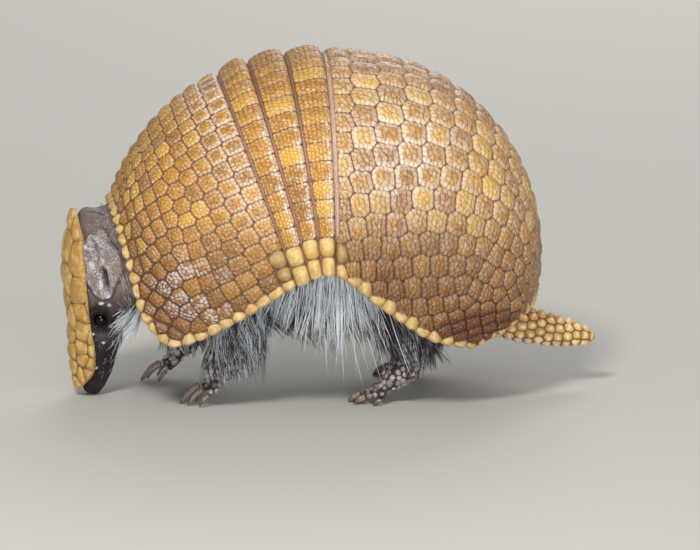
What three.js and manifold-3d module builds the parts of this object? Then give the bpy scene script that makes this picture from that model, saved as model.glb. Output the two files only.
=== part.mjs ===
// A southern three-banded armadillo walking with its nose to the ground: a still, life-size model.
// Millimetres, +Z up, the head towards -X, the animal's left side towards -Y, and the floor at Z = 0.
// The bony carapace is one arched surface, parted into the shoulder shield, three bands and the rump shield.
// The flesh is a set of rounded limbs along smooth lines, parted from each other by thin cuts.

import * as THREE from "three";
import { mergeVertices } from "three/addons/utils/BufferGeometryUtils.js";
import Module from "manifold-3d";

const wasm = await Module();
wasm.setup();

// ---------------------------------------------------------------- sizes

const GAP = 0.35; // between pieces that meet
const PLATE = 3; // thickness of the bony shields
const HEAD_PLATE = 2.2; // thickness of the shield on the head
const HEAD_PLATE_LIFT = 0.8; // how far its inner side stands off the head
const BAND_BULGE = 1.1; // how far the middle of a band stands proud of its edges
const SQUARENESS = 0.025; // how much fuller than an ellipse the carapace is at its shoulders

// The middle of the back's arch in side view, which is nearly part of a circle.
const ARCH = { x: -2.8, z: 54.3 };

// The carapace from collar to tail. Each row: angle and distance of the back from the arch's middle,
// lower margin's x and z, half width, and how far round each side the shell reaches, in degrees.
const CARAPACE = [
  [163, 93.2, -79.5, 29, 44, 98],
  [149, 93.3, -62, 31, 50.5, 103],
  [134, 93.2, -40, 42, 54.5, 103],
  [118.7, 92.2, -18, 56, 56.5, 99],
  [90, 89.9, -2, 60.5, 57.5, 98],
  [60, 92.4, 18, 45.5, 57, 102],
  [28, 92.8, 38, 31.5, 54, 105],
  [-9, 90.3, 58, 25.5, 43, 98],
];
const COLLAR = 0;
// Where the collar's lower corners start to round, as a share of the way across, and how far back they go.
const COLLAR_CORNER = { from: 0.78, back: 0.5 };
const FIRST_BAND = 3;
const RUMP = 4;
const TAIL_NOTCH = 7;
const BANDS = 3;

// Limbs: each row is x, y, z of the centre line, then half the width and half the depth there.
const HEAD = [
  [-101.5, 0, 80, 15, 6],
  [-99.8, 0, 68, 18, 8.7],
  [-98.7, 0, 55, 19.5, 10.7],
  [-97.2, 0, 43, 19, 11.1],
  [-96.5, 0, 31, 16.5, 10.5],
  [-97.5, 0, 20, 12.5, 9.5],
  [-98.2, 0, 10, 9.5, 8],
  [-100, 0, -0.8, 7, 5.4],
];
// How far round the head its shield reaches on each side, in degrees, from the back of the head to the nose.
const HEAD_SHIELD = [[52], [66], [66], [64], [66], [82], [84], [42]];
const HEAD_SHIELD_ENDS = { from: 0.025, to: 0.94 };
const NECK = [
  [-106, 0, 56, 17, 20],
  [-98, 0, 56.5, 23, 23.5],
  [-88, 0, 57, 26, 25],
  [-76, 0, 60, 28, 28],
];
const TRUNK = [
  [-89, 0, 60, 26, 29],
  [-72, 0, 66, 37, 37],
  [-46, 0, 80, 46.5, 52],
  [-16, 0, 85, 51, 58.5],
  [14, 0, 85, 52.3, 59],
  [42, 0, 78, 51, 54],
  [66, 0, 65, 46, 41.5],
  [84, 0, 54, 31, 26],
];
const TAIL = [
  [64, 0, 30.5, 9, 8.8],
  [76, 0, 27.4, 8.8, 8.4],
  [89, 0, 24.3, 8, 7.6],
  [101, 0, 21.8, 6.8, 6.4],
  [112.4, 0, 20, 5.2, 5],
];

const EYE = { x: -96.6, y: 14.1, z: 34.8, radius: 3.1 };
const EYE_CLEARANCE = 0.3;

// An ear is a cupped leaf: its root and tip on the left side, its half width and its curl.
const EAR = {
  root: [-95, -19.4, 42.5],
  tip: [-99.6, -23.4, 73],
  halfWidth: 8,
  rootWidth: 6,
  thickness: 1.8,
  curl: 2.6,
  turn: 0.26, // how far its rear edge is turned out from the head
};

// Legs on the left side, from hip or shoulder to the ball of the foot. The right ones are mirrored.
const FORELEG = [
  [-46, -27, 64, 11, 15],
  [-38, -31, 44, 9.5, 12.5],
  [-41, -30, 30, 8.6, 10.5],
  [-46, -27, 18.5, 7.8, 8.8],
  [-49, -25.5, 10, 7.2, 6.6],
];
const HINDLEG = [
  [40, -31.5, 60, 18, 25.5],
  [25, -34.5, 48, 15.5, 19.5],
  [28, -30, 33, 9, 11],
  [33.5, -27.5, 20.5, 7.2, 8.4],
  [27, -26.5, 12, 7.2, 6.4],
  [19.5, -26, 6, 7.8, 4.6],
];
// Toes, from the inside outwards: sideways place, where the tip is ahead of the ball of the foot and
// above the floor, radius, then how far forward the claw reaches beyond the toe, and its half width.
const FORE_TOES = [
  { side: -5.8, ahead: 4.4, above: 4.6, radius: 2.2, claw: 3.6, half: 1.6 },
  { side: -1.9, ahead: 6.6, above: 6.4, radius: 2.7, claw: 6, half: 2.1 },
  { side: 2.5, ahead: 7, above: 7.4, radius: 3.1, claw: 8.6, half: 2.9 },
  { side: 6.6, ahead: 4.6, above: 4.8, radius: 2.3, claw: 4, half: 1.8 },
];
const HIND_TOES = [
  { side: -8.4, ahead: 0.5, above: 2.1, radius: 2.1, claw: 3.4, half: 2 },
  { side: -4.5, ahead: 7.2, above: 2.4, radius: 2.8, claw: 4.4, half: 2.9 },
  { side: 0.2, ahead: 8.8, above: 2.6, radius: 3, claw: 4.8, half: 3.3 },
  { side: 4.9, ahead: 7, above: 2.3, radius: 2.7, claw: 4.4, half: 2.8 },
  { side: 8.8, ahead: -2, above: 2.1, radius: 2.2, claw: 3.2, half: 1.9 },
];
// How far each foot is carried along X from the left one's place, as the animal walks.
const STRIDE = { foreleg_left: 0, foreleg_right: -13, hindleg_left: 0, hindleg_right: 15 };

const COLOURS = {
  shield: [0xc98a3c, 0.5],
  band: [0xbf7a34, 0.5],
  headShield: [0xd0a24a, 0.5],
  tail: [0xd6b070, 0.6],
  skin: [0x57494a, 0.75],
  ear: [0x8b7f7c, 0.75],
  claw: [0xa08468, 0.45],
  eye: [0x0c0a0a, 0.08],
};

// ---------------------------------------------------------------- helpers

const radians = THREE.MathUtils.degToRad;

// A column of a table as a smooth line: t counts rows, and the ends run straight on.
function through(rows, t, column) {
  const last = rows.length - 1;
  const i = Math.max(0, Math.min(Math.floor(t), last - 1));
  const f = t - i;
  const at = (k) => {
    if (k < 0) return 2 * rows[0][column] - rows[1][column];
    if (k > last) return 2 * rows[last][column] - rows[last - 1][column];
    return rows[k][column];
  };
  const [a, b, c, d] = [at(i - 1), at(i), at(i + 1), at(i + 2)];
  const bend = (2 * a - 5 * b + 4 * c - d) * f ** 2 + (3 * b - a - 3 * c + d) * f ** 3;
  return b + ((c - a) * f + bend) / 2;
}

// A closed geometry with only positions, its shared vertices merged and its faces turned outwards.
function closed(geometry) {
  geometry.deleteAttribute("normal");
  geometry.deleteAttribute("uv");
  const merged = mergeVertices(geometry, 1e-4);
  const index = merged.index.array;
  const [a, b, c] = [new THREE.Vector3(), new THREE.Vector3(), new THREE.Vector3()];
  let volume = 0;
  for (let i = 0; i < index.length; i += 3) {
    [a, b, c].forEach((corner, k) => corner.fromBufferAttribute(merged.attributes.position, index[i + k]));
    volume += a.dot(b.cross(c));
  }
  if (volume < 0) {
    for (let i = 0; i < index.length; i += 3) [index[i], index[i + 1]] = [index[i + 1], index[i]];
  }
  return merged;
}

// A box of segments whose corners 0..1 are moved by place(u, v, w).
function bentBox(segments, place) {
  const geometry = new THREE.BoxGeometry(1, 1, 1, ...segments);
  const position = geometry.attributes.position;
  for (let i = 0; i < position.count; i++) {
    const p = place(position.getX(i) + 0.5, position.getY(i) + 0.5, position.getZ(i) + 0.5);
    position.setXYZ(i, p.x, p.y, p.z);
  }
  return closed(geometry);
}

// A sphere whose points are moved by place(along 0..1, angle around).
function bentBall(around, along, place) {
  const geometry = new THREE.SphereGeometry(1, around, along);
  const position = geometry.attributes.position;
  for (let i = 0; i < position.count; i++) {
    const p = place((1 - position.getY(i)) / 2, Math.atan2(position.getZ(i), position.getX(i)));
    position.setXYZ(i, p.x, p.y, p.z);
  }
  return closed(geometry);
}

function solid(geometry) {
  const mesh = new wasm.Mesh({
    numProp: 3,
    vertProperties: new Float32Array(geometry.attributes.position.array),
    triVerts: new Uint32Array(geometry.index.array),
  });
  return new wasm.Manifold(mesh);
}

// The largest body of a solid, as a geometry, so that no shaving of a cut is left beside it.
function geometryOf(manifold) {
  const whole = manifold.decompose().sort((a, b) => b.volume() - a.volume())[0];
  const mesh = whole.getMesh();
  const places = new Float32Array(mesh.numVert * 3);
  for (let i = 0; i < mesh.numVert; i++) {
    places.set(mesh.vertProperties.subarray(i * mesh.numProp, i * mesh.numProp + 3), i * 3);
  }
  const geometry = new THREE.BufferGeometry();
  geometry.setAttribute("position", new THREE.BufferAttribute(places, 3));
  geometry.setIndex(new THREE.BufferAttribute(new Uint32Array(mesh.triVerts), 1));
  geometry.computeVertexNormals();
  return geometry;
}

const minus = (whole, ...cuts) => cuts.reduce((left, cut) => left.subtract(cut), whole);

const part = new THREE.Group();

function addPiece(name, geometry, colour) {
  const [color, roughness] = COLOURS[colour];
  const material = new THREE.MeshStandardMaterial({ color, roughness, metalness: 0 });
  const mesh = new THREE.Mesh(geometry, material);
  mesh.name = name;
  part.add(mesh);
}

// ---------------------------------------------------------------- carapace

// The outer surface: t counts the rows of CARAPACE, and across runs from -1 at the left margin to 1.
function carapacePoint(t, across) {
  const row = CARAPACE[0].map((_, column) => through(CARAPACE, t, column));
  const [degrees, radius, marginX, marginZ, halfWidth, reachDegrees] = row;
  const [angle, reach] = [radians(degrees), radians(reachDegrees)];
  const back = [ARCH.x + radius * Math.cos(angle), ARCH.z + radius * Math.sin(angle)];
  const fullness = (phi) => 1 + SQUARENESS * Math.sin(2 * phi) ** 2;
  const height = (phi) => fullness(phi) * Math.cos(phi);
  const phi = across * reach;
  const rise = (height(phi) - height(reach)) / (1 - height(reach));
  return new THREE.Vector3(
    THREE.MathUtils.lerp(marginX, back[0], rise),
    halfWidth * fullness(phi) * Math.sin(phi),
    THREE.MathUtils.lerp(marginZ, back[1], rise),
  );
}

const STEP = 1e-3;

function carapaceAtDepth(t, across, depth) {
  const alongX = carapacePoint(t + STEP, across).sub(carapacePoint(t - STEP, across));
  const alongY = carapacePoint(t, across + STEP).sub(carapacePoint(t, across - STEP));
  const inward = alongY.cross(alongX).normalize();
  return carapacePoint(t, across).addScaledVector(inward, depth);
}

// How much of t a distance in millimetres takes at a place on the shell.
function tFor(distance, t, across) {
  const speed = carapacePoint(t + STEP, across).distanceTo(carapacePoint(t - STEP, across)) / (2 * STEP);
  return distance / speed;
}

// The collar's own edge, which runs back near the lower margin so that its corners are round.
function collarEdge(across) {
  const corner = Math.max(0, Math.abs(across) - COLLAR_CORNER.from) / (1 - COLLAR_CORNER.from);
  return COLLAR + COLLAR_CORNER.back * corner ** 2;
}

// A plate of the carapace between two values of t, with half a gap left at each end.
function shellPlate(from, to, segments, { outer = 0, inner = PLATE, bulge = 0, gap = GAP } = {}) {
  return bentBox(segments, (u, v, w) => {
    const across = 2 * v - 1;
    const edge = from === COLLAR ? collarEdge(across) : from;
    const start = edge + tFor(gap / 2, edge, across);
    const end = to - tFor(gap / 2, to, across);
    const proud = bulge * (1 - (2 * u - 1) ** 2);
    const depth = THREE.MathUtils.lerp(inner, outer, w) - proud;
    return carapaceAtDepth(THREE.MathUtils.lerp(start, end, u), across, depth);
  });
}

addPiece("shell_scapular", shellPlate(COLLAR, FIRST_BAND, [9, 20, 1]), "shield");
for (let i = 0; i < BANDS; i++) {
  const from = THREE.MathUtils.lerp(FIRST_BAND, RUMP, i / BANDS);
  const to = THREE.MathUtils.lerp(FIRST_BAND, RUMP, (i + 1) / BANDS);
  addPiece(`shell_band_${i + 1}`, shellPlate(from, to, [2, 20, 1], { bulge: BAND_BULGE }), "band");
}
addPiece("shell_pelvic", shellPlate(RUMP, TAIL_NOTCH, [11, 20, 1]), "shield");

// The room that the whole shell takes, with its clearance, which is cut from the flesh under it.
const SHELL_OVERHANG = 8;
const SHELL_CLEARANCE = GAP + 0.2;
const shellRoom = solid(
  shellPlate(COLLAR, TAIL_NOTCH, [14, 18, 1], {
    outer: -SHELL_OVERHANG,
    inner: PLATE + SHELL_CLEARANCE,
    gap: -2 * GAP,
  }),
);
const ground = solid(closed(new THREE.BoxGeometry(500, 500, 50).translate(0, 0, -25)));

// ---------------------------------------------------------------- limbs

const SIDEWAYS = new THREE.Vector3(0, 1, 0);
const LIMB_BLUNTNESS = 4; // 2 gives round ends, and more gives blunter ones

// A point on a limb's surface: h runs along it from 0 to 1, and at angle 0 it faces along the limb's depth.
function limbPoint(rows, h, angle, outset = 0, bluntness = LIMB_BLUNTNESS) {
  const column = (k, which) => through(rows, k * (rows.length - 1), which);
  const centre = (k) => new THREE.Vector3(column(k, 0), column(k, 1), column(k, 2));
  const along = centre(h + STEP).sub(centre(h - STEP)).normalize();
  const side = SIDEWAYS.clone().addScaledVector(along, -SIDEWAYS.dot(along)).normalize();
  const deep = new THREE.Vector3().crossVectors(side, along);
  const ending = Math.max(0, 1 - Math.abs(2 * h - 1) ** bluntness) ** (1 / bluntness);
  const half = [3, 4].map((which) => (column(h, which) + outset) * ending);
  return centre(h)
    .addScaledVector(along, outset * (2 * h - 1))
    .addScaledVector(side, half[0] * Math.sin(angle))
    .addScaledVector(deep, half[1] * Math.cos(angle));
}

const limb = (rows, around, along, outset = 0, bluntness = LIMB_BLUNTNESS) =>
  bentBall(around, along, (h, angle) => limbPoint(rows, h, angle, outset, bluntness));

// ---------------------------------------------------------------- head

const SIDES = { left: -1, right: 1 };

// Mirrors a place on the left side to the named side.
const onSide = (name, [x, y, z, ...rest]) => [x, -y * SIDES[name], z, ...rest];

function ball(centre, radius, around = 12, along = 8) {
  return closed(new THREE.SphereGeometry(radius, around, along).rotateX(Math.PI / 2).translate(...centre));
}

const headRoom = solid(limb(HEAD, 16, 12, GAP));
const sockets = Object.values(SIDES).map((side) =>
  solid(ball([EYE.x, side * EYE.y, EYE.z], EYE.radius + EYE_CLEARANCE)),
);
function headShield(clearance) {
  const grown = clearance / 60; // the clearance as a share of the head's length
  return bentBox([10, 8, 1], (u, v, w) => {
    const h = THREE.MathUtils.lerp(HEAD_SHIELD_ENDS.from - grown, HEAD_SHIELD_ENDS.to + grown, u);
    const rounded = (1 - Math.abs(2 * u - 1) ** 6) ** (1 / 3);
    const widest = radians(through(HEAD_SHIELD, h * (HEAD_SHIELD.length - 1), 0)) * (1 + 4 * grown);
    const outset = HEAD_PLATE_LIFT + THREE.MathUtils.lerp(-clearance, HEAD_PLATE + clearance, w);
    return limbPoint(HEAD, h, (2 * v - 1) * widest * Math.max(rounded, 0.35), outset);
  });
}
const shieldRoom = solid(headShield(GAP));
addPiece("head_shield", geometryOf(minus(solid(headShield(0)), headRoom, ground)), "headShield");
addPiece("head", geometryOf(minus(solid(limb(HEAD, 16, 12)), ...sockets, ground)), "skin");

for (const name of Object.keys(SIDES)) {
  addPiece(`eye_${name}`, ball([EYE.x, SIDES[name] * EYE.y, EYE.z], EYE.radius, 10, 7), "eye");
}

function ear(name) {
  const root = new THREE.Vector3(...onSide(name, EAR.root));
  const axis = new THREE.Vector3(...onSide(name, EAR.tip)).sub(root);
  const rearward = new THREE.Vector3(1, SIDES[name] * EAR.turn, 0).normalize();
  const outward = new THREE.Vector3().crossVectors(rearward, axis).normalize().multiplyScalar(-SIDES[name]);
  return bentBox([8, 6, 1], (u, v, w) => {
    const across = 2 * v - 1;
    const leaf = Math.sin(Math.PI * (0.06 + 0.9 * u ** 0.9)) ** 0.55;
    const half = THREE.MathUtils.lerp(EAR.rootWidth, EAR.halfWidth, Math.min(1, 2 * u)) * leaf;
    const lift = EAR.thickness * w - EAR.curl * across ** 2 * (half / EAR.halfWidth);
    const middle = root.clone().addScaledVector(axis, u);
    return middle.addScaledVector(rearward, across * half).addScaledVector(outward, lift);
  });
}

const neckRoom = solid(limb(NECK, 16, 6, GAP));
for (const name of Object.keys(SIDES)) {
  addPiece(`ear_${name}`, geometryOf(minus(solid(ear(name)), headRoom, shieldRoom, neckRoom)), "ear");
}

// ---------------------------------------------------------------- neck, trunk and tail

const neck = minus(solid(limb(NECK, 16, 6)), headRoom, shieldRoom, shellRoom);
addPiece("neck", geometryOf(neck), "skin");

const trunk = minus(solid(limb(TRUNK, 18, 11)), shellRoom, neckRoom);
addPiece("trunk", geometryOf(trunk), "skin");
const trunkRoom = solid(limb(TRUNK, 18, 11, GAP));

const tail = minus(solid(limb(TAIL, 14, 10, 0, 3)), shellRoom, trunkRoom);
addPiece("tail", geometryOf(tail), "tail");

// ---------------------------------------------------------------- legs

const DIGIT_DEPTH = 0.85; // a toe's or claw's height as a share of its width
const DIGIT_BLUNTNESS = 2.5;
const TOE_TIP = 0.85; // the width at the tip as a share of the width at the root
const CLAW_TIP = 0.35;

// Rows of a small limb from one point to another, bowed upwards by arch in the middle.
function digit(from, to, half, tipShare, arch = 0) {
  return [0, 0.35, 0.7, 1].map((k) => {
    const [x, y, z] = from.map((value, axis) => THREE.MathUtils.lerp(value, to[axis], k));
    const width = half * THREE.MathUtils.lerp(1, tipShare, k);
    return [x, y, z + arch * Math.sin(Math.PI * k), width, width * DIGIT_DEPTH];
  });
}

// Where a toe starts from the ball of the foot, and where its claw starts from the toe's tip.
const KNUCKLE = { back: 2, up: 0.6, spread: 0.675 };
const CLAW_ROOT = { back: 1, up: 0.6 };
const CLAW_TIP_Z = -0.5; // under the floor, so that the cut there leaves a small flat to rest on

const digitSolid = (rows, outset = 0, around = 7) => solid(limb(rows, around, 4, outset, DIGIT_BLUNTNESS));

// Builds one leg with its toes and claws. arch is how far the claws bow upwards.
function addLeg(kind, name, rows, toes, arch) {
  const node = `${kind}leg_${name}`;
  const shift = STRIDE[node];
  const carried = rows.map((row, i) => {
    const [x, ...rest] = onSide(name, row);
    return [x + shift * Math.min(1, i / 2), ...rest];
  });
  const [footX, footY, footZ] = carried.at(-1);
  const legs = [0, GAP].map((outset) => solid(limb(carried, 12, 9, outset)));
  const claws = toes.map((toe, i) => {
    const y = footY - SIDES[name] * toe.side;
    const knuckleY = THREE.MathUtils.lerp(footY, y, KNUCKLE.spread);
    const knuckle = [footX + KNUCKLE.back, knuckleY, footZ + KNUCKLE.up];
    const tip = [footX - toe.ahead, y, toe.above];
    [0, GAP].forEach((outset, k) => {
      legs[k] = legs[k].add(digitSolid(digit(knuckle, tip, toe.radius, TOE_TIP), outset));
    });
    const clawRoot = [tip[0] + CLAW_ROOT.back, y, tip[2] + CLAW_ROOT.up];
    const claw = digit(clawRoot, [tip[0] - toe.claw, y, CLAW_TIP_Z], toe.half, CLAW_TIP, arch);
    return { label: `claw_${kind}_${name}_${i + 1}`, rows: claw };
  });
  addPiece(node, geometryOf(minus(legs[0], shellRoom, trunkRoom, ground)), "skin");
  for (const claw of claws) {
    addPiece(claw.label, geometryOf(minus(digitSolid(claw.rows, 0, 5), legs[1], ground)), "claw");
  }
}

for (const name of Object.keys(SIDES)) {
  addLeg("fore", name, FORELEG, FORE_TOES, 1.6);
  addLeg("hind", name, HINDLEG, HIND_TOES, 0.9);
}

// The origin is under the middle of the whole animal, on the floor.
const box = new THREE.Box3().setFromObject(part);
part.position.x = -(box.min.x + box.max.x) / 2;

export default part;
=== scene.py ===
"""A southern three-banded armadillo, life size, made round its CAD frame.

Shapes are worked out here in millimetres, in the frame's own axes: the head is towards -X, the
animal's left side towards -Y and the floor is Z = 0. They turn into Blender's metres as meshes are made.
"""

import math

import bmesh
import bpy
import numpy as np
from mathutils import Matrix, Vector
from mathutils.kdtree import KDTree


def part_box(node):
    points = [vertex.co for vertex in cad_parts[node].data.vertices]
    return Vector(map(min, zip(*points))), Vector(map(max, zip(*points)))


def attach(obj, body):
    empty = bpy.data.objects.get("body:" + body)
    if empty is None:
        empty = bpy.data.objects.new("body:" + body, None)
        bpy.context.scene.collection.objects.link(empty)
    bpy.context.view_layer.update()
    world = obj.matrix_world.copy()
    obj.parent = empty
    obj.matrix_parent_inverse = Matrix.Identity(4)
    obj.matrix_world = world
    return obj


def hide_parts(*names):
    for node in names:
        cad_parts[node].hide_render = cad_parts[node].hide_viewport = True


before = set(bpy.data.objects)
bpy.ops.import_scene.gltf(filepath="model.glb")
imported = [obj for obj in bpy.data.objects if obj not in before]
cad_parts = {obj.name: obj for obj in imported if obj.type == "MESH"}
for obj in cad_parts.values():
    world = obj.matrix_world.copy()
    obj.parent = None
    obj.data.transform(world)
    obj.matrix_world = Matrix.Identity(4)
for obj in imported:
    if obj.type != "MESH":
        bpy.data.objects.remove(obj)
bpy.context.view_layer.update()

MM = 0.001
SIDES = {"left": -1, "right": 1}
COARSE = 1.0

# ---------------------------------------------------------------- camera, floor and light

PICTURE = (700, 550)
MM_PER_PIXEL = 0.42
ORIGIN_PIXEL = (328.5, 389.0)  # where the photograph shows the point on the floor under the middle
CAMERA_AZIMUTH = -5.0
CAMERA_ELEVATION = 12.0
CAMERA_DISTANCE = 6000.0
CAMERA_NEAR, CAMERA_FAR = 0.1, 50  # what the camera sees, in metres
SENSOR = 36.0

azimuth, elevation = math.radians(CAMERA_AZIMUTH), math.radians(CAMERA_ELEVATION)
camera_right = Vector((math.cos(azimuth), math.sin(azimuth), 0))
camera_back = Vector((
    math.sin(azimuth) * math.cos(elevation),
    -math.cos(azimuth) * math.cos(elevation),
    math.sin(elevation),
))
camera_up = camera_back.cross(camera_right)
aim = (
    camera_right * (PICTURE[0] / 2 - ORIGIN_PIXEL[0]) * MM_PER_PIXEL
    + camera_up * (ORIGIN_PIXEL[1] - PICTURE[1] / 2) * MM_PER_PIXEL
)

camera_data = bpy.data.cameras.new("camera")
camera_data.sensor_width = SENSOR
camera_data.lens = SENSOR * CAMERA_DISTANCE / (PICTURE[0] * MM_PER_PIXEL)
camera_data.clip_start = CAMERA_NEAR
camera_data.clip_end = CAMERA_FAR
camera = bpy.data.objects.new("camera", camera_data)
camera.location = (aim + camera_back * CAMERA_DISTANCE) * MM
camera.rotation_euler = camera_back.to_track_quat("Z", "Y").to_euler()
bpy.context.scene.collection.objects.link(camera)
bpy.context.scene.camera = camera
bpy.context.scene.view_settings.view_transform = "Standard"

# The soft lights: where each stands and how wide it is, both in metres, then its watts and its colour.
LIGHTS = {
    "key": ((-0.4, -0.9, 1.1), 0.32, 10.6, (1.0, 0.98, 0.95)),
    "fill": ((0.9, -1.1, 0.5), 1.2, 4.6, (0.95, 0.97, 1.0)),
    "low": ((-0.05, -1.3, 0.06), 0.4, 10.5, (0.95, 0.97, 1.0)),
    "back": ((0.3, 1.2, 0.9), 1.0, 8.0, (1.0, 1.0, 1.0)),
}
LIT_PLACE = Vector((0, 0, 0.07))  # what the lights face
SKY_COLOUR = (0.80, 0.82, 0.84, 1)
SKY_STRENGTH = 0.36
FLOOR_WIDTH = 12  # metres

for light_name, (light_place, width, watts, tint) in LIGHTS.items():
    light = bpy.data.lights.new(light_name, "AREA")
    light.shape = "DISK"
    light.size = width
    light.energy = watts
    light.color = tint
    holder = bpy.data.objects.new(light_name, light)
    holder.location = light_place
    holder.rotation_euler = (LIT_PLACE - Vector(light_place)).to_track_quat("-Z", "Y").to_euler()
    bpy.context.scene.collection.objects.link(holder)

world = bpy.data.worlds.new("studio")
world.use_nodes = True
world.node_tree.nodes["Background"].inputs["Color"].default_value = SKY_COLOUR
world.node_tree.nodes["Background"].inputs["Strength"].default_value = SKY_STRENGTH
bpy.context.scene.world = world

# ---------------------------------------------------------------- materials

SUBSURFACE_SCALE = 0.002  # metres
NOISE_ROUGHNESS = 0.55


def rgb(red, green, blue):
    """An sRGB colour, 0 to 255, in the linear numbers that shaders use."""
    shares = (level / 255 for level in (red, green, blue))
    return tuple(c / 12.92 if c <= 0.04 else ((c + 0.055) / 1.055) ** 2.4 for c in shares)


class Shader:
    """A node material with one Principled shader. Its methods add a node and give its output."""

    def __init__(self, name, specular):
        self.material = bpy.data.materials.new(name)
        self.material.use_nodes = True
        self.tree = self.material.node_tree
        self.surface = self.tree.nodes["Principled BSDF"]
        self.set("Specular IOR Level", specular)
        self.set("Subsurface Scale", SUBSURFACE_SCALE)

    def set(self, socket, value):
        self.connect(value, self.surface.inputs[socket])

    def connect(self, value, socket):
        if isinstance(value, bpy.types.NodeSocket):
            self.tree.links.new(value, socket)
        else:
            socket.default_value = (*value, 1.0) if isinstance(value, tuple) else value

    def node(self, kind, **options):
        node = self.tree.nodes.new(kind)
        for key, value in options.items():
            setattr(node, key, value)
        return node

    def attribute(self, name):
        return self.node("ShaderNodeAttribute", attribute_name=name).outputs["Fac"]

    def attributes(self, names):
        return map(self.attribute, names.split())

    def math(self, operation, a, b):
        node = self.node("ShaderNodeMath", operation=operation)
        self.connect(a, node.inputs[0])
        self.connect(b, node.inputs[1])
        return node.outputs[0]

    def plus(self, a, b):
        return self.math("ADD", a, b)

    def minus(self, a, b):
        return self.math("SUBTRACT", a, b)

    def times(self, a, b):
        return self.math("MULTIPLY", a, b)

    def ramp(self, value, low, high, to_low=0.0, to_high=1.0):
        """Runs smoothly from to_low to to_high while value runs from low to high."""
        node = self.node("ShaderNodeMapRange", interpolation_type="SMOOTHSTEP")
        for socket, given in zip(node.inputs, (value, low, high, to_low, to_high)):
            self.connect(given, socket)
        return node.outputs[0]

    def mix(self, share, a, b, blend="MIX"):
        """Colour a, with a share of colour b over it."""
        node = self.node("ShaderNodeMix", data_type="RGBA", blend_type=blend)
        self.connect(share, node.inputs["Factor"])
        self.connect(a, node.inputs[6])
        self.connect(b, node.inputs[7])
        return node.outputs[2]

    def texture(self, kind, per_mm):
        node = self.node(kind)
        self.connect(self.node("ShaderNodeNewGeometry").outputs["Position"], node.inputs["Vector"])
        self.connect(per_mm / MM, node.inputs["Scale"])
        return node

    def noise(self, per_mm, detail=3.0):
        node = self.texture("ShaderNodeTexNoise", per_mm)
        self.connect(detail, node.inputs["Detail"])
        self.connect(NOISE_ROUGHNESS, node.inputs["Roughness"])
        return node.outputs["Fac"]

    def cells(self, per_mm):
        return self.texture("ShaderNodeTexVoronoi", per_mm).outputs["Distance"]

    def bump(self, height, depth_mm):
        node = self.node("ShaderNodeBump")
        self.connect(depth_mm * MM, node.inputs["Distance"])
        self.connect(height, node.inputs["Height"])
        self.set("Normal", node.outputs["Normal"])


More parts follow.
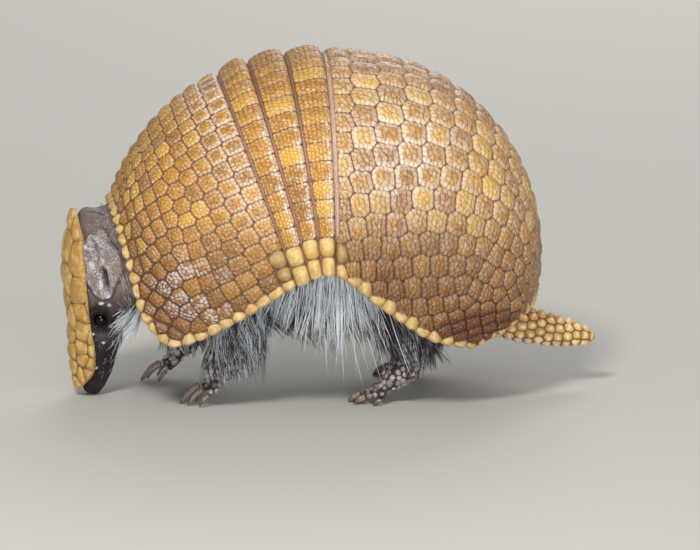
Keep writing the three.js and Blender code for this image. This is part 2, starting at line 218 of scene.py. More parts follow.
def shell_material():
    """Horny scutes: golden in the middle, creamy at their rims, grained, and parted by brown skin."""
    m = Shader("scutes", 0.45)
    edge, grain, tone, pale, frost, cream = m.attributes("edge grain tone pale frost cream")
    seam, loose, blush, dusk, dust = m.attributes("seam loose blush dusk dust")
    mottle, fine, veins = m.noise(0.25), m.noise(2.2), m.noise(0.75, 4.0)
    raised = m.ramp(m.plus(grain, m.times(fine, 0.35)), 0.16, 0.62, 0.12, 1.0)

    # the hollows between a scute's grains and the grains' tops, on brown scutes and on yellow ones
    patches = m.ramp(mottle, 0.36, 0.66)
    brown, yellow = (tone, 0.35, 0.0, 0.0), (tone, 0.65, 1.0, 0.0)
    low = m.mix(patches, rgb(194, 126, 36), rgb(158, 96, 36))
    low = m.mix(m.ramp(*brown, 0.7), low, rgb(134, 84, 44))
    low = m.mix(m.ramp(*yellow, 0.8), low, rgb(212, 152, 54))
    high = m.mix(patches, rgb(212, 160, 66), rgb(188, 134, 56))
    high = m.mix(m.ramp(*brown, 0.65), high, rgb(162, 114, 68))
    high = m.mix(m.ramp(*yellow, 0.8), high, rgb(238, 194, 92))

    streaks = m.times(m.minus(veins, 0.5), 6.0)
    # paler, creamier rims: their real colour, made paler still by painted highlight where the shell catches
    # the light
    outer = m.ramp(m.plus(edge, streaks), 0.4, 2.6, 1.0, 0.0)
    paleness = m.times(outer, m.plus(0.2, m.times(cream, 0.8)))
    high = m.mix(paleness, high, m.mix(cream, rgb(222, 184, 108), rgb(252, 240, 222)))
    low = m.mix(m.times(paleness, 0.6), low, m.mix(cream, rgb(190, 138, 80), rgb(228, 190, 150)))
    body = m.mix(raised, low, high)
    # white flecks on the grains' tops: painted glints, partly real wear
    glints_and_wear = m.times(m.ramp(m.noise(0.85, 1.5), 0.58, 0.68), m.times(raised, 0.5))
    body = m.mix(glints_and_wear, body, rgb(240, 236, 228))
    body = m.mix(m.times(frost, m.ramp(grain, 0.12, 0.3)), body, rgb(250, 248, 244))
    smooth = m.mix(m.ramp(mottle, 0.3, 0.7), rgb(232, 206, 142), rgb(206, 166, 96))
    smooth = m.mix(m.ramp(veins, 0.5, 0.66, 0.0, 0.5), smooth, rgb(206, 156, 78))
    body = m.mix(pale, body, smooth)
    body = m.mix(m.ramp(edge, 0.0, 0.3, 0.5, 0.0), body, rgb(132, 86, 62))

    # the skin between the scutes, the soft seams, dried dirt, and painted shade that darkens and browns the
    # shell where it turns under and in its browner patches
    skin = m.mix(m.ramp(fine, 0.3, 0.7), rgb(104, 64, 54), rgb(140, 96, 76))
    skin = m.mix(loose, skin, m.mix(fine, rgb(104, 66, 46), rgb(158, 112, 78)))
    body = m.mix(m.ramp(edge, -0.1, 0.1, 1.0, 0.0), body, skin)
    dull_seam = m.mix(fine, rgb(140, 98, 78), rgb(206, 164, 136))
    pink_seam = m.mix(fine, rgb(186, 146, 120), rgb(226, 192, 168))
    body = m.mix(seam, body, m.mix(blush, dull_seam, pink_seam))
    dirt = m.times(dust, m.ramp(m.noise(0.12), 0.35, 0.7, 0.35, 1.0))
    body = m.mix(dirt, body, rgb(150, 112, 86))
    # painted shade: the shell made darker and browner where it turns under and in patches, partly real
    # browner colour
    body = m.mix(dusk, body, m.mix(1.0, body, (0.24, 0.14, 0.08), "MULTIPLY"))
    m.set("Base Color", body)
    m.set("Roughness", m.ramp(fine, 0.3, 0.7, 0.2, 0.42))
    m.set("Coat Weight", 0.18)
    m.set("Coat Roughness", 0.2)
    m.bump(m.plus(m.times(m.ramp(grain, 0.0, 0.45), m.minus(1.0, pale)), m.times(fine, 0.8)), 0.22)
    return m.material


def floor():
    m = Shader("floor", 0.2)
    m.set("Roughness", 0.85)
    m.set("Base Color", rgb(206, 203, 196))
    bpy.ops.mesh.primitive_plane_add(size=FLOOR_WIDTH, location=(0, 0, 0))
    plane = bpy.context.object
    plane.name = "floor"
    plane.data.materials.append(m.material)


floor()

# ---------------------------------------------------------------- meshes


def put_on_frame(mesh, name, attributes, material, slot, stands_for=()):
    """Makes a smooth piece of a mesh in metres, with a number at each point for each of the attributes."""
    mesh.name = name
    mesh.shade_smooth()
    for key, values in attributes.items():
        mesh.attributes.new(key, "FLOAT", "POINT").data.foreach_set("value", np.asarray(values, np.float32))
    mesh.materials.clear()
    mesh.materials.append(material)
    piece = bpy.data.objects.new(name, mesh)
    bpy.context.scene.collection.objects.link(piece)
    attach(piece, "root")
    if stands_for:
        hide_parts(*stands_for)
    return piece


def add_piece(name, points, faces, attributes, uv, *dress):
    """Makes a piece from points in millimetres, a list of face arrays and, if uv isn't None, an unwrap."""
    corners = np.concatenate([group.ravel() for group in faces])
    sizes = np.concatenate([np.full(len(group), group.shape[1]) for group in faces])
    mesh = bpy.data.meshes.new(name)
    mesh.vertices.add(len(points))
    mesh.vertices.foreach_set("co", (points * MM).ravel())
    mesh.loops.add(len(corners))
    mesh.loops.foreach_set("vertex_index", corners.astype(np.int32))
    mesh.polygons.add(len(sizes))
    mesh.polygons.foreach_set("loop_start", (np.cumsum(sizes) - sizes).astype(np.int32))
    mesh.update(calc_edges=True)
    mesh.validate()
    if uv is not None:
        layer = mesh.uv_layers.new(name="OFBake")
        layer.data.foreach_set("uv", np.asarray(uv, np.float32)[corners].ravel())
    return put_on_frame(mesh, name, attributes, *dress)


def dice(seed):
    return np.random.default_rng(seed)


def smoothstep(low, high, value):
    x = np.clip((value - low) / (high - low), 0, 1)
    return x * x * (3 - 2 * x)


def bell(distance, width):
    """1 where distance is 0, falling off smoothly on both sides."""
    return np.exp(-((distance / width) ** 2))


def unit(vectors):
    return vectors / np.maximum(np.linalg.norm(vectors, axis=-1, keepdims=True), 1e-9)


def nearest(centres, points, count):
    """The distances to each point's nearest centres and which they are, as two arrays."""
    tree = KDTree(len(centres))
    for i, centre in enumerate(centres):
        tree.insert(centre, i)
    tree.balance()
    found = np.array([[(d, i) for _, i, d in tree.find_n(p, count)] for p in points])
    return found[:, :, 0], found[:, :, 1].astype(int)


def soft_least(distances, softness):
    """The least of several distances, along the last axis, with its creases rounded off."""
    return -softness * np.log(np.exp(-distances / np.asarray(softness)[..., None]).sum(axis=-1))


def cell_walls(centres, points, count=4):
    """Which centre's cell each point is in, and its distances from the nearest walls of that cell."""
    distance, index = nearest(centres, points, count)
    apart = np.linalg.norm(centres[index[:, 1:]] - centres[index[:, :1]], axis=2)
    return index[:, 0], (distance[:, 1:] ** 2 - distance[:, :1] ** 2) / (2 * np.maximum(apart, 1e-6))


def cell_edges(centres, points, round_mm, count=4):
    """Which centre's cell each point is in, and its distance from that cell's edge, with rounded corners."""
    owner, walls = cell_walls(centres, points, count)
    return owner, np.maximum(soft_least(walls, round_mm), 0)


def grid_faces(rows, columns, start=0):
    """Four-sided faces over a grid of points that are numbered row by row from start."""
    i, j = np.meshgrid(np.arange(rows - 1), np.arange(columns - 1), indexing="ij")
    a = (start + i * columns + j).ravel()
    return np.stack([a, a + 1, a + columns + 1, a + columns], axis=1)


def grid_lengths(surface):
    """How far each point of a grid is from its first row, and from its first column, measured along it."""
    rows, columns = surface.shape[:2]
    down = np.linalg.norm(np.diff(surface, axis=0), axis=2)
    across = np.linalg.norm(np.diff(surface, axis=1), axis=2)
    return (np.concatenate([np.zeros((1, columns)), np.cumsum(down, axis=0)]),
            np.concatenate([np.zeros((rows, 1)), np.cumsum(across, axis=1)], axis=1))


def running_length(points):
    """How far along a line of points each one is."""
    return np.concatenate([[0], np.cumsum(np.linalg.norm(np.diff(points, axis=0), axis=1))])


def add_plate(name, outer, inside, inner_rows, attributes, uv, inner_u, inner_v, *dress):
    """One closed piece: a fine grid of outer points, and a coarser one taken from the grid inside it.

    The inner points lie on the unwrap between the two values of inner_u and of inner_v, and count as seam.
    """
    rows, columns = inside.shape[:2]
    rim = np.linspace(0, rows - 1, inner_rows).round().astype(int)
    start = rows * columns
    faces = [grid_faces(rows, columns)[:, ::-1], grid_faces(inner_rows, columns, start)]
    for row, rim_row, flip in ((0, 0, False), (rows - 1, inner_rows - 1, True)):
        a = row * columns + np.arange(columns - 1)
        b = start + rim_row * columns + np.arange(columns - 1)
        wall = np.stack([a, a + 1, b + 1, b], axis=1)
        faces.append(wall[:, ::-1] if flip else wall)
    for column, flip in ((0, True), (columns - 1, False)):
        for k in range(inner_rows - 1):
            chain = np.arange(rim[k], rim[k + 1] + 1) * columns + column
            inner = [start + row * columns + column for row in (k + 1, k)]
            wall = np.concatenate([chain, inner])
            faces.append((wall[::-1] if flip else wall)[None, :])
    points = np.concatenate([outer, inside[rim].reshape(-1, 3)])
    hidden = np.zeros(len(points) - start)
    attributes = {key: np.append(values, hidden + (key == "seam")) for key, values in attributes.items()}
    inner_grid = np.meshgrid(np.linspace(*inner_u, columns), np.linspace(*inner_v, inner_rows))
    inner_uv = np.stack(inner_grid, axis=-1).reshape(-1, 2)
    add_piece(name, points, faces, attributes, np.concatenate([uv, inner_uv]), *dress)


# ---------------------------------------------------------------- carapace

TAIL_END = 112.4  # where the tail ends in the frame's own drawing, before it is centred
CENTRE_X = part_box("tail")[1].x / MM - TAIL_END
ARCH_MIDDLE = (-2.8, 54.3)
# As in the frame. Each row: angle and distance of the back from the arch's middle, the lower margin's
# x and z, half width, and how far round each side the shell reaches, in degrees.
CARAPACE = np.array([
    [163, 93.2, -79.5, 29, 44, 98],
    [149, 93.3, -62, 31, 50.5, 103],
    [134, 93.2, -40, 42, 54.5, 103],
    [118.7, 92.2, -18, 56, 56.5, 99],
    [90, 89.9, -2, 60.5, 57.5, 98],
    [60, 92.4, 18, 45.5, 57, 102],
    [28, 92.8, 38, 31.5, 54, 105],
    [-9, 90.3, 58, 25.5, 43, 98],
])
COLLAR, FIRST_BAND, RUMP, TAIL_NOTCH = 0, 3, 4, 7  # the rows where plates start and end
COLLAR_CORNER = (0.78, 0.5)  # where round the collar its edge starts to run back, and how far it runs
FULLNESS = 0.025
PLATE_DEPTH = 2.7  # how far the plates' inner side is under the surface
RING_STEPS = 400  # how many points measure a ring round the shell, or a shield along the back
PLATE_STEPS, ROW_STEPS, BEAD_STEPS = 200, 50, 300  # the same for a plate's size, rows of grains and beads

BEAD_WIDTH = 2.9
BEAD_PITCH = 6.0
BEAD_LINE, COLLAR_BEADS = 0.99, 0.045  # how far out the beads of the margin and the collar lie
BEAD_WOBBLE = 0.14
LINE_ENDING = 0.25  # how far along t a line of scutes takes to narrow to nothing
BEFORE, BEYOND = -1, 9  # a t past each end of the shell, for a line of scutes that doesn't stop on it
KNOBS = (7.4, 9.3)  # lengths of the two smooth scutes at each end of a band, from the margin up

# The rings of grained scutes on each shield, from front to rear: each one's width, and its shift round the
# shell as a share of a scute. Then how many lines of scutes a side has, and those that start or end at some
# t on the shield, counted from the middle of the back down.
SCAPULAR_RINGS = [(5.6, 0.2), (6.2, -0.2), (6.6, 0.2), (7.0, -0.15), (7.4, 0.1), *[(7.4, 0.0)] * 4, (9.6, 0)]
SCAPULAR_LINES = 15
SCAPULAR_STARTS = {2: 1.2, 5: 0.6, 8: 1.6, 10: 0.33, 12: 0.9}
PELVIC_WIDTHS = [10.2] + [12.2] * 4 + [11.6, 11.4, 11.0, 10.6, 10.2, 9.8, 9.4, 9.0, 8.6, 8.2]
PELVIC_SHIFT = 0.25
PELVIC_LINES = 12
PELVIC_ENDS = {2: 6.45, 4: 6.85, 6: 6.65, 9: 6.2}
BANDS = 3
BAND_SCUTES = 25
BAND_CENTRE = 0.56  # where the scutes' centres lie, as a share of a band

SHELL = shell_material()


def through(rows, t):
    """The rows of a table as a smooth line: t counts rows, and the ends run straight on."""
    t = np.asarray(t, float)[..., None]
    last = len(rows) - 1
    i = np.clip(np.floor(t), 0, last - 1).astype(int)[..., 0]
    f = t - i[..., None]
    padded = np.vstack([2 * rows[0] - rows[1], rows, 2 * rows[-1] - rows[-2]])
    a, b, c, d = (padded[i + k] for k in range(4))
    return 0.5 * (2 * b + (c - a) * f + (2 * a - 5 * b + 4 * c - d) * f**2 + (3 * b - a - 3 * c + d) * f**3)


def carapace(t, across):
    """Points of the shell's outer surface: across runs from -1, the left margin, to 1, the right one."""
    degrees, radius, margin_x, margin_z, half_width, reach = np.moveaxis(through(CARAPACE, t), -1, 0)
    back_x = ARCH_MIDDLE[0] + radius * np.cos(np.radians(degrees))
    back_z = ARCH_MIDDLE[1] + radius * np.sin(np.radians(degrees))
    reach = np.radians(reach)
    phi = across * reach
    full, full_end = (1 + FULLNESS * np.sin(2 * angle) ** 2 for angle in (phi, reach))
    end = full_end * np.cos(reach)
    rise = (full * np.cos(phi) - end) / (1 - end)
    return np.stack([
        margin_x + (back_x - margin_x) * rise + CENTRE_X,
        half_width * full * np.sin(phi),
        margin_z + (back_z - margin_z) * rise,
    ], axis=-1)


def carapace_outward(t, across, step=1e-3):
    along = carapace(t + step, across) - carapace(t - step, across)
    round_ = carapace(t, across + step) - carapace(t, across - step)
    return unit(np.cross(along, round_))


def along_back(start, end, steps):
    """Values of t from start to end, and how far along the middle of the back each one is."""
    t = np.linspace(start, end, steps)
    return t, running_length(carapace(t, np.zeros(steps)))


def ring_length(t):
    return running_length(carapace(np.full(RING_STEPS, t), np.linspace(-1, 1, RING_STEPS)))


def on_ring(t, places):
    """Values of across for places in millimetres round the ring at t."""
    return np.interp(places, ring_length(t), np.linspace(-1, 1, RING_STEPS))


def collar_edge(across):
    """Where the collar's own edge is: near the lower margin it runs back, so that its corners are round."""
    corner = np.clip((np.abs(across) - COLLAR_CORNER[0]) / (1 - COLLAR_CORNER[0]), 0, 1)
    return COLLAR + COLLAR_CORNER[1] * corner**2


def scute_centres(start, end, rings, lines, rng, jitter):
    """Centres of the scutes, as (t, across), where rings of scutes cross lines that run along the back.

    lines gives the t where each line of one side starts and ends, from the middle of the back down.
    """
    back, length = along_back(start, end, RING_STEPS)
    widths, shifts = np.array(rings).T
    edges = np.concatenate([[0], np.cumsum(widths)]) / widths.sum() * length[-1]
    born, gone = np.array(lines).T
    centres = []
    for place, shift in zip((edges[1:] + edges[:-1]) / 2, shifts):
        t = np.interp(place, length, back)
        begun, ended = (smoothstep(-LINE_ENDING, LINE_ENDING, past) for past in (t - born, gone - t))
        share = begun * ended
        half_ring = ring_length(t)[-1] / 2
        width = (half_ring - BEAD_WIDTH) / share.sum()
        down = (np.cumsum(share) - share / 2)[share > 0.5] * width
        places = half_ring + np.concatenate([-down[::-1], down]) + shift * width
        for across in on_ring(t, places + rng.uniform(-jitter, jitter, len(places))):
            nudge = rng.uniform(-jitter, jitter) * 0.6
            centres.append((np.interp(place + nudge, length, back), across))
    return np.array(centres)


def bead_centres(start, end, rng):
    """Centres of the smooth beads along both margins, and along the collar or the notch over the tail."""
    along = np.linspace(start + COLLAR_CORNER[1] if start == COLLAR else start, end, BEAD_STEPS)
    across = np.linspace(-BEAD_LINE, BEAD_LINE, BEAD_STEPS)
    lines = [(along, np.full(BEAD_STEPS, side * BEAD_LINE)) for side in SIDES.values()]
    if start == COLLAR:
        lines.append((collar_edge(across) + COLLAR_BEADS, across))
    if end == TAIL_NOTCH:
        lines.append((np.full(BEAD_STEPS, TAIL_NOTCH - COLLAR_BEADS / 2), across))
    beads = []
    for t, line_across in lines:
        length = running_length(carapace(t, line_across))
        count = round(length[-1] / BEAD_PITCH)
        wobble = rng.uniform(-BEAD_WOBBLE, BEAD_WOBBLE, count)
        places = (np.arange(count) + 0.5 + wobble) / count * length[-1]
        beads.append(carapace(np.interp(places, length, t), np.interp(places, length, line_across)))
    return np.concatenate(beads)


# The grains of a scute lie in two loops: how far out each is, as a share of the way to the scute's edge, and
# its grains' width, as a share of the spacing.
GRAIN_LOOPS = ((0.26, 0.8), (0.82, 0.9))
LOOP_TURN = 0.6
LEAST_FACING = 0.2  # the cosine past which a scute's wall is too much aside to stop a grain
FARTHEST_GRAIN = 1.35  # in half widths of the scute


def grains_on(centres, rng, spacing):
    """Centres of the grains on each scute: a ring of long ones round its rim and a few in the middle."""
    places = carapace(centres[:, 0], centres[:, 1])
    neighbour = nearest(places, places, 7)[1]
    grains = []
    for k, centre in enumerate(places):
        towards = places[neighbour[k, 1:]] - centre
        normal = unit(carapace_outward(centres[k, 0], centres[k, 1]))
        first = unit(np.cross(normal, (0.3, 0.1, 1.0)))
        second = np.cross(normal, first)
        flat = np.stack([towards @ first, towards @ second], axis=1)
        half = np.linalg.norm(flat, axis=1) / 2
        heading = flat / (2 * half[:, None])
        typical = np.median(half[:4])
        turn = rng.uniform(0, 2 * math.pi)
        for share, width in GRAIN_LOOPS:
            count = max(1, round(2 * math.pi * typical * share / (spacing * width)))
            for n in range(count):
                angle = turn + 2 * math.pi * (n + rng.uniform(-0.3, 0.3)) / count
                ray = np.array([math.cos(angle), math.sin(angle)])
                facing = heading @ ray
                walls = half / np.maximum(facing, LEAST_FACING)
                wall = walls[facing > LEAST_FACING].min(initial=FARTHEST_GRAIN * typical)
                place = ray * wall * share * rng.uniform(0.84, 1.1)
                grains.append(centre + first * place[0] + second * place[1])
            turn += LOOP_TURN
    return np.array(grains)


def grain_rows(start, end, spacing, rng):
    """Centres of grains in staggered rows all over a plate."""
    back = along_back(start, end, ROW_STEPS)[1][-1]
    shift = (end - start) / back * spacing * 0.2
    grains = []
    for row, t in enumerate(np.linspace(start, end, max(2, round(back / spacing)))):
        places = np.arange(0.5 + 0.45 * (row % 2), ring_length(t)[-1], 0.9) * spacing
        across = on_ring(t, places + rng.uniform(-0.3, 0.3, len(places)) * spacing)
        grains.append(carapace(t + rng.uniform(-shift, shift, len(across)), across))
    return np.concatenate(grains)


def near_knobs(to_margin):
    return smoothstep(sum(KNOBS) + 1.5, sum(KNOBS) - 2, to_margin)


SEAM_DEPTH = 0.95
NO_BEADS = np.empty((0, 3))
SMOOTH_BEAD, SHADE_AND_BROWN_ON_BEAD = 0.88, 0.3  # how smooth a bead is, and how much of the shell's painted shade and browning it takes
BEAD_ROUNDING, SMOOTH_ROUNDING = 0.55, 1.1  # of the corners of beads and of smooth scutes
BEAD_DOME, SMOOTH_DOME, DOME_WIDTH = 1.9, 2.6, 1.6
GRAIN_ROUNDING = 0.1
SCALLOP_DEPTH = 0.22  # how far a scute's edge draws in between its grains
LOOSE_GAP, LOOSE_SWELL = 0.3, 0.4  # how much wider the gaps are, and higher the scutes, where they are loose
STEP_HEIGHT, STEP_WIDTH, SWELL_WIDTH = 0.5, 0.32, 3.4  # a scute's steep edge, and the swell inside it
RIM_DROP, RIM_WIDTH, RIM_INSET = 1.1, 1.3, 0.3  # how a plate's own edge turns down
PLAIN_LOOKS = dict.fromkeys(("frost", "blush", "loose"), 0.0)
UV_MARGIN = 0.98


def seam_profile(front, rear_drop, bulge):
    """A plate that starts with a strip of soft seam front mm wide and ends in a lip rear_drop mm high.

    The profile gives the plate's own height, how much of it is seam, and how far it is to the seam.
    """

    def profile(from_front, to_rear, to_margin):
        by_knobs = near_knobs(to_margin)
        strip = front * (1 - 0.75 * by_knobs)
        seam = 1 - smoothstep(strip * 0.8, strip * 1.1 + 0.01, from_front) if front else 0 * from_front
        share = np.clip((from_front - strip) / np.maximum(from_front + to_rear - strip, 1), 0, 1)
        height = bulge * (1 - 0.7 * by_knobs) * np.sin(math.pi * share**1.4 * 0.86) - SEAM_DEPTH * seam
        height = height - rear_drop * (1 - smoothstep(0, 0.7, to_rear))
        to_seam = np.minimum(from_front - strip * 0.95, to_rear + 0.25) if front else to_rear + 0.25
        return height, seam, to_seam

    return profile


def shell_plate(name, start, end, spacing, centres, smooth_ones, grains, profile, looks, beads=NO_BEADS,
                gap=0.07, round_mm=0.45, grain_height=0.2, swell=0.65):
    """One shield or band: the carapace between two values of t, raised by its scutes and their grains.

    looks(x, y, z, owners, grain owners, distances to the rear edge) gives the colour attributes. Scutes lie
    gap mm back from their edges, with corners rounded by round_mm, and swell mm high.
    """
    ring = ring_length((start + end) / 2)[-1]
    back = along_back(start, end, PLATE_STEPS)[1][-1]
    rows, columns = int(back / spacing) + 1, int(ring / spacing) + 1
    across = np.linspace(-1, 1, columns)
    edge_t = collar_edge(across) if start == COLLAR else np.full(columns, float(start))
    t = edge_t[None, :] + (end - edge_t)[None, :] * np.linspace(0, 1, rows)[:, None]
    across = np.broadcast_to(across, t.shape)
    surface = carapace(t, across)
    outward = carapace_outward(t, across)
    from_front, from_side = grid_lengths(surface)
    to_rear = from_front[-1] - from_front
    to_margin = np.minimum(from_side, from_side[:, -1:] - from_side)

    flat = surface.reshape(-1, 3)
    homes = np.concatenate([carapace(centres[:, 0], centres[:, 1]), beads])
    owner, walls = cell_walls(homes, flat)
    on_bead = owner >= len(centres)
    owner = owner % len(centres)
    smooth = np.where(on_bead, SMOOTH_BEAD, smooth_ones[owner])
    grain_owner, grain = cell_edges(grains, flat, GRAIN_ROUNDING, 3)
    height, seam, to_seam = (values.ravel() for values in profile(from_front, to_rear, to_margin))
    from_front, to_rear, to_margin = from_front.ravel(), to_rear.ravel(), to_margin.ravel()
    colours = {**PLAIN_LOOKS, **looks(*(flat - (CENTRE_X, 0, 0)).T, owner, grain_owner, to_rear)}
    colours = {key: np.broadcast_to(values, owner.shape) for key, values in colours.items()}
    colours["dusk"] = colours["dusk"] * np.where(on_bead, SHADE_AND_BROWN_ON_BEAD, 1)

    rounding = np.where(on_bead, BEAD_ROUNDING, np.where(smooth, SMOOTH_ROUNDING, round_mm))
    edge = np.maximum(soft_least(np.column_stack([walls, to_seam]), rounding), 0)
    scallop = SCALLOP_DEPTH * (1 - smooth) * (1 - smoothstep(0.05, 0.5, grain))
    edge = edge - gap - LOOSE_GAP * colours["loose"] * (1 - smooth) - scallop * smoothstep(1.5, 0.3, edge)
    above = np.maximum(edge, 0)
    dome = STEP_HEIGHT * (1 - np.exp(-above / STEP_WIDTH))
    dome = dome + (swell + LOOSE_SWELL * colours["loose"]) * smoothstep(-0.2, SWELL_WIDTH, above)
    dome -= STEP_HEIGHT
    dome += smooth * np.where(on_bead, BEAD_DOME, SMOOTH_DOME) * above / (above + DOME_WIDTH)
    lift = dome * (1 - seam) + grain_height * (1 - smooth) * (1 - seam) * (smoothstep(0, 0.5, grain) - 0.4)
    rim = np.minimum(to_margin, np.minimum(from_front, to_rear) + RIM_INSET)
    by_knobs = near_knobs(to_margin) if len(beads) == 0 else 0.0
    lift -= RIM_DROP * (1 - 0.7 * by_knobs) * (1 - smoothstep(0, RIM_WIDTH, rim))
    lift += height

    attributes = {"edge": edge, "grain": grain, "pale": smooth, "seam": seam, **colours}
    longest = max(from_front.max(), from_side.max()) * 1.02
    uv = np.column_stack([from_side.ravel(), from_front]) / longest
    inner_v = (from_front.max() / longest, UV_MARGIN)
    slot = "band" if "band" in name else "shield"
    add_plate(name.replace("shell", "scutes"), flat + outward.reshape(-1, 3) * lift[:, None],
              surface - outward * PLATE_DEPTH, max(3, rows // 22), attributes, uv, (0, 1), inner_v,
              SHELL, slot, [name])


def number(count, owner, seed):
    """A random number from 0 to 1 for each of a count of things, given to each point that owns one."""
    return dice(seed).uniform(0, 1, count)[owner]


def patch(x, z, place, spread):
    """1 at a place in side view, falling off round it."""
    return np.exp(-(((x - place[0]) / spread[0]) ** 2 + ((z - place[1]) / spread[1]) ** 2))


def shaded_underside(z):
    """How much painted shade, darker and browner, the shell takes where it turns under."""
    return smoothstep(92, 46, z)


def scapular():
    rng = dice(11)
    lines = [(SCAPULAR_STARTS.get(k, BEFORE), BEYOND) for k in range(SCAPULAR_LINES)]
    centres = scute_centres(COLLAR + 0.15, FIRST_BAND, SCAPULAR_RINGS, lines, rng, 0.3)
    smooth = (centres[:, 0] > 2.75) & (np.abs(centres[:, 1]) > 0.86)
    pushed = (collar_edge(centres[:, 1]) - COLLAR) * (FIRST_BAND - centres[:, 0]) / (FIRST_BAND - COLLAR)
    centres[:, 0] += pushed
    grains = grains_on(centres[~smooth], rng, 1.7)
    beads = bead_centres(COLLAR, FIRST_BAND, rng)
    fortune = dice(12)
    frosted_grain = fortune.uniform(0, 1, len(grains)) > 0.3
    frosted_scute = fortune.uniform(0, 1, len(centres)) > 0.45

    def looks(x, y, z, owner, grain_owner, to_rear):
        frost = patch(x, z, (-64, 48), (15, 15)) * smoothstep(25, 38, np.abs(y))
        front = smoothstep(34, 64, to_rear)
        return {
            "tone": number(len(centres), owner, 13),
            "frost": np.clip(frost * 2.2, 0, 1) * frosted_grain[grain_owner] * frosted_scute[owner],
            # creamier high up towards the rear: real creamy rims and painted light
            "cream": 0.1 + 0.65 * smoothstep(30, 4, to_rear) * smoothstep(60, 95, z),
            "dust": 0.25 * smoothstep(24, 8, np.abs(y)),
            "loose": front**1.5,
            # painted shade low down where the shell turns under, and darker towards the front
            "dusk": 0.12 + 0.54 * shaded_underside(z) + 0.12 * front,
        }

    shell_plate("shell_scapular", COLLAR, FIRST_BAND, 0.5 * COARSE, centres, smooth, grains,
                seam_profile(0, 0.5, 0.0), looks, beads, round_mm=0.38)


def band(number_of):
    rng = dice(20 + number_of)
    start = FIRST_BAND + (RUMP - FIRST_BAND) * number_of / BANDS
    end = FIRST_BAND + (RUMP - FIRST_BAND) * (number_of + 1) / BANDS
    middle = start + (end - start) * BAND_CENTRE
    length = ring_length(middle)[-1]
    knobs = np.array([KNOBS[0] / 2, KNOBS[0] + KNOBS[1] / 2])
    edges = np.linspace(sum(KNOBS), length - sum(KNOBS), BAND_SCUTES + 1)
    grained = (edges[1:] + edges[:-1]) / 2 + rng.uniform(-0.4, 0.4, BAND_SCUTES)
    places = np.concatenate([knobs, length - knobs, grained])
    smooth = np.arange(len(places)) < 2 * len(knobs)
    centres = np.stack([np.full(len(places), middle), on_ring(middle, places)], axis=1)
    grains = grain_rows(start, end, 2.0, rng)

    def looks(x, y, z, owner, grain_owner, to_rear):
        return {
            "tone": number(len(centres), owner, 30 + number_of),
            # pale rear edges of the bands: painted highlight where they bulge, over their creamy rims
            "cream": 0.16 + 0.84 * smoothstep(5, 1, to_rear) * smoothstep(142, 115, z),
            "dust": 0.35 * smoothstep(20, 6, np.abs(y)),
            # darker towards the top of the bands
            "dusk": 0.25 * smoothstep(110, 140, z),
        }

    shell_plate(f"shell_band_{number_of + 1}", start, end, 0.48 * COARSE, centres, smooth, grains,
                seam_profile(1.3, 0.7, 1.6), looks)


def pelvic():
    rng = dice(40)
    lines = [(BEFORE, PELVIC_ENDS.get(k, BEYOND)) for k in range(PELVIC_LINES)]
    rings = [(width, PELVIC_SHIFT * (-1) ** k) for k, width in enumerate(PELVIC_WIDTHS)]
    centres = scute_centres(RUMP, TAIL_NOTCH, rings, lines, rng, 0.6)
    smooth = (centres[:, 0] < RUMP + 0.25) & (np.abs(centres[:, 1]) > 0.88)
    grains = grains_on(centres[~smooth], rng, 2.0)
    beads = bead_centres(RUMP, TAIL_NOTCH, rng)

    def looks(x, y, z, owner, grain_owner, to_rear):
        # a painted pool of light on the upper shield, given as cream
        sunlit = patch(x, z, (24, 108), (30, 26))
        # painted shade where the shell turns under, and a browner patch above it
        brown = 0.12 + 0.36 * patch(x, z, (26, 66), (38, 28)) + 0.46 * shaded_underside(z)
        tone = number(len(centres), owner, 41)
        return {
            "tone": tone,
            "frost": 0.3 * number(len(grains), grain_owner, 42),
            "cream": np.clip(0.04 + sunlit * (0.65 + 0.4 * tone), 0, 1),
            "dust": np.clip(1.1 * smoothstep(30, 6, np.abs(y)) * smoothstep(100, 130, z), 0, 0.8),
            "blush": 1.0,
            "loose": 0.08,
            # painted shade where the shell turns under, and a darker patch low at the rear
            "dusk": brown + 0.85 * patch(x, z, (61, 32), (19, 10)),
        }

    shell_plate("shell_pelvic", RUMP, TAIL_NOTCH, 0.65 * COARSE, centres, smooth, grains,
                seam_profile(2.2, 0.0, 0.35), looks, beads,
                gap=0.03, round_mm=0.42, grain_height=0.17, swell=0.95)


scapular()
for each in range(BANDS):
    band(each)
pelvic()

# ---------------------------------------------------------------- shield on the head, and tail

# As in the frame: each row is x, y, z of a centre line, then half the width and half the depth there.
HEAD = np.array([
    [-101.5, 0, 80, 15, 6],
    [-99.8, 0, 68, 18, 8.7],
    [-98.7, 0, 55, 19.5, 10.7],
    [-97.2, 0, 43, 19, 11.1],
    [-96.5, 0, 31, 16.5, 10.5],
    [-97.5, 0, 20, 12.5, 9.5],
    [-98.2, 0, 10, 9.5, 8],
    [-100, 0, -0.8, 7, 5.4],
])
TAIL = np.array([
    [64, 0, 30.5, 9, 8.8],
    [76, 0, 27.4, 8.8, 8.4],
    [89, 0, 24.3, 8, 7.6],
    [101, 0, 21.8, 6.8, 6.4],
    [112.4, 0, 20, 5.2, 5],
])
HEAD_BLUNTNESS, TAIL_BLUNTNESS = 4.0, 3.0
HEAD_REACH = np.array([52, 66, 66, 64, 66, 82, 84, 42.0])  # the shield's half width in degrees, at each row
HEAD_SHIELD_FROM, HEAD_SHIELD_TO = 0.025, 0.94
HEAD_SHIELD_LEAST = 0.35  # how wide its rounded ends still are, as a share of its reach
HEAD_PLATE, HEAD_PLATE_LIFT = 2.2, 0.8
HEAD_SHIELD_SIZE = (80, 52)
HEAD_STEP, HEAD_SWELL, HEAD_SINK = 0.75, 0.5, 1.1  # its scutes' steep edge and swell, and their gaps' level
HEAD_RIM_DROP, HEAD_RIM_INSET = 1.2, 0.3
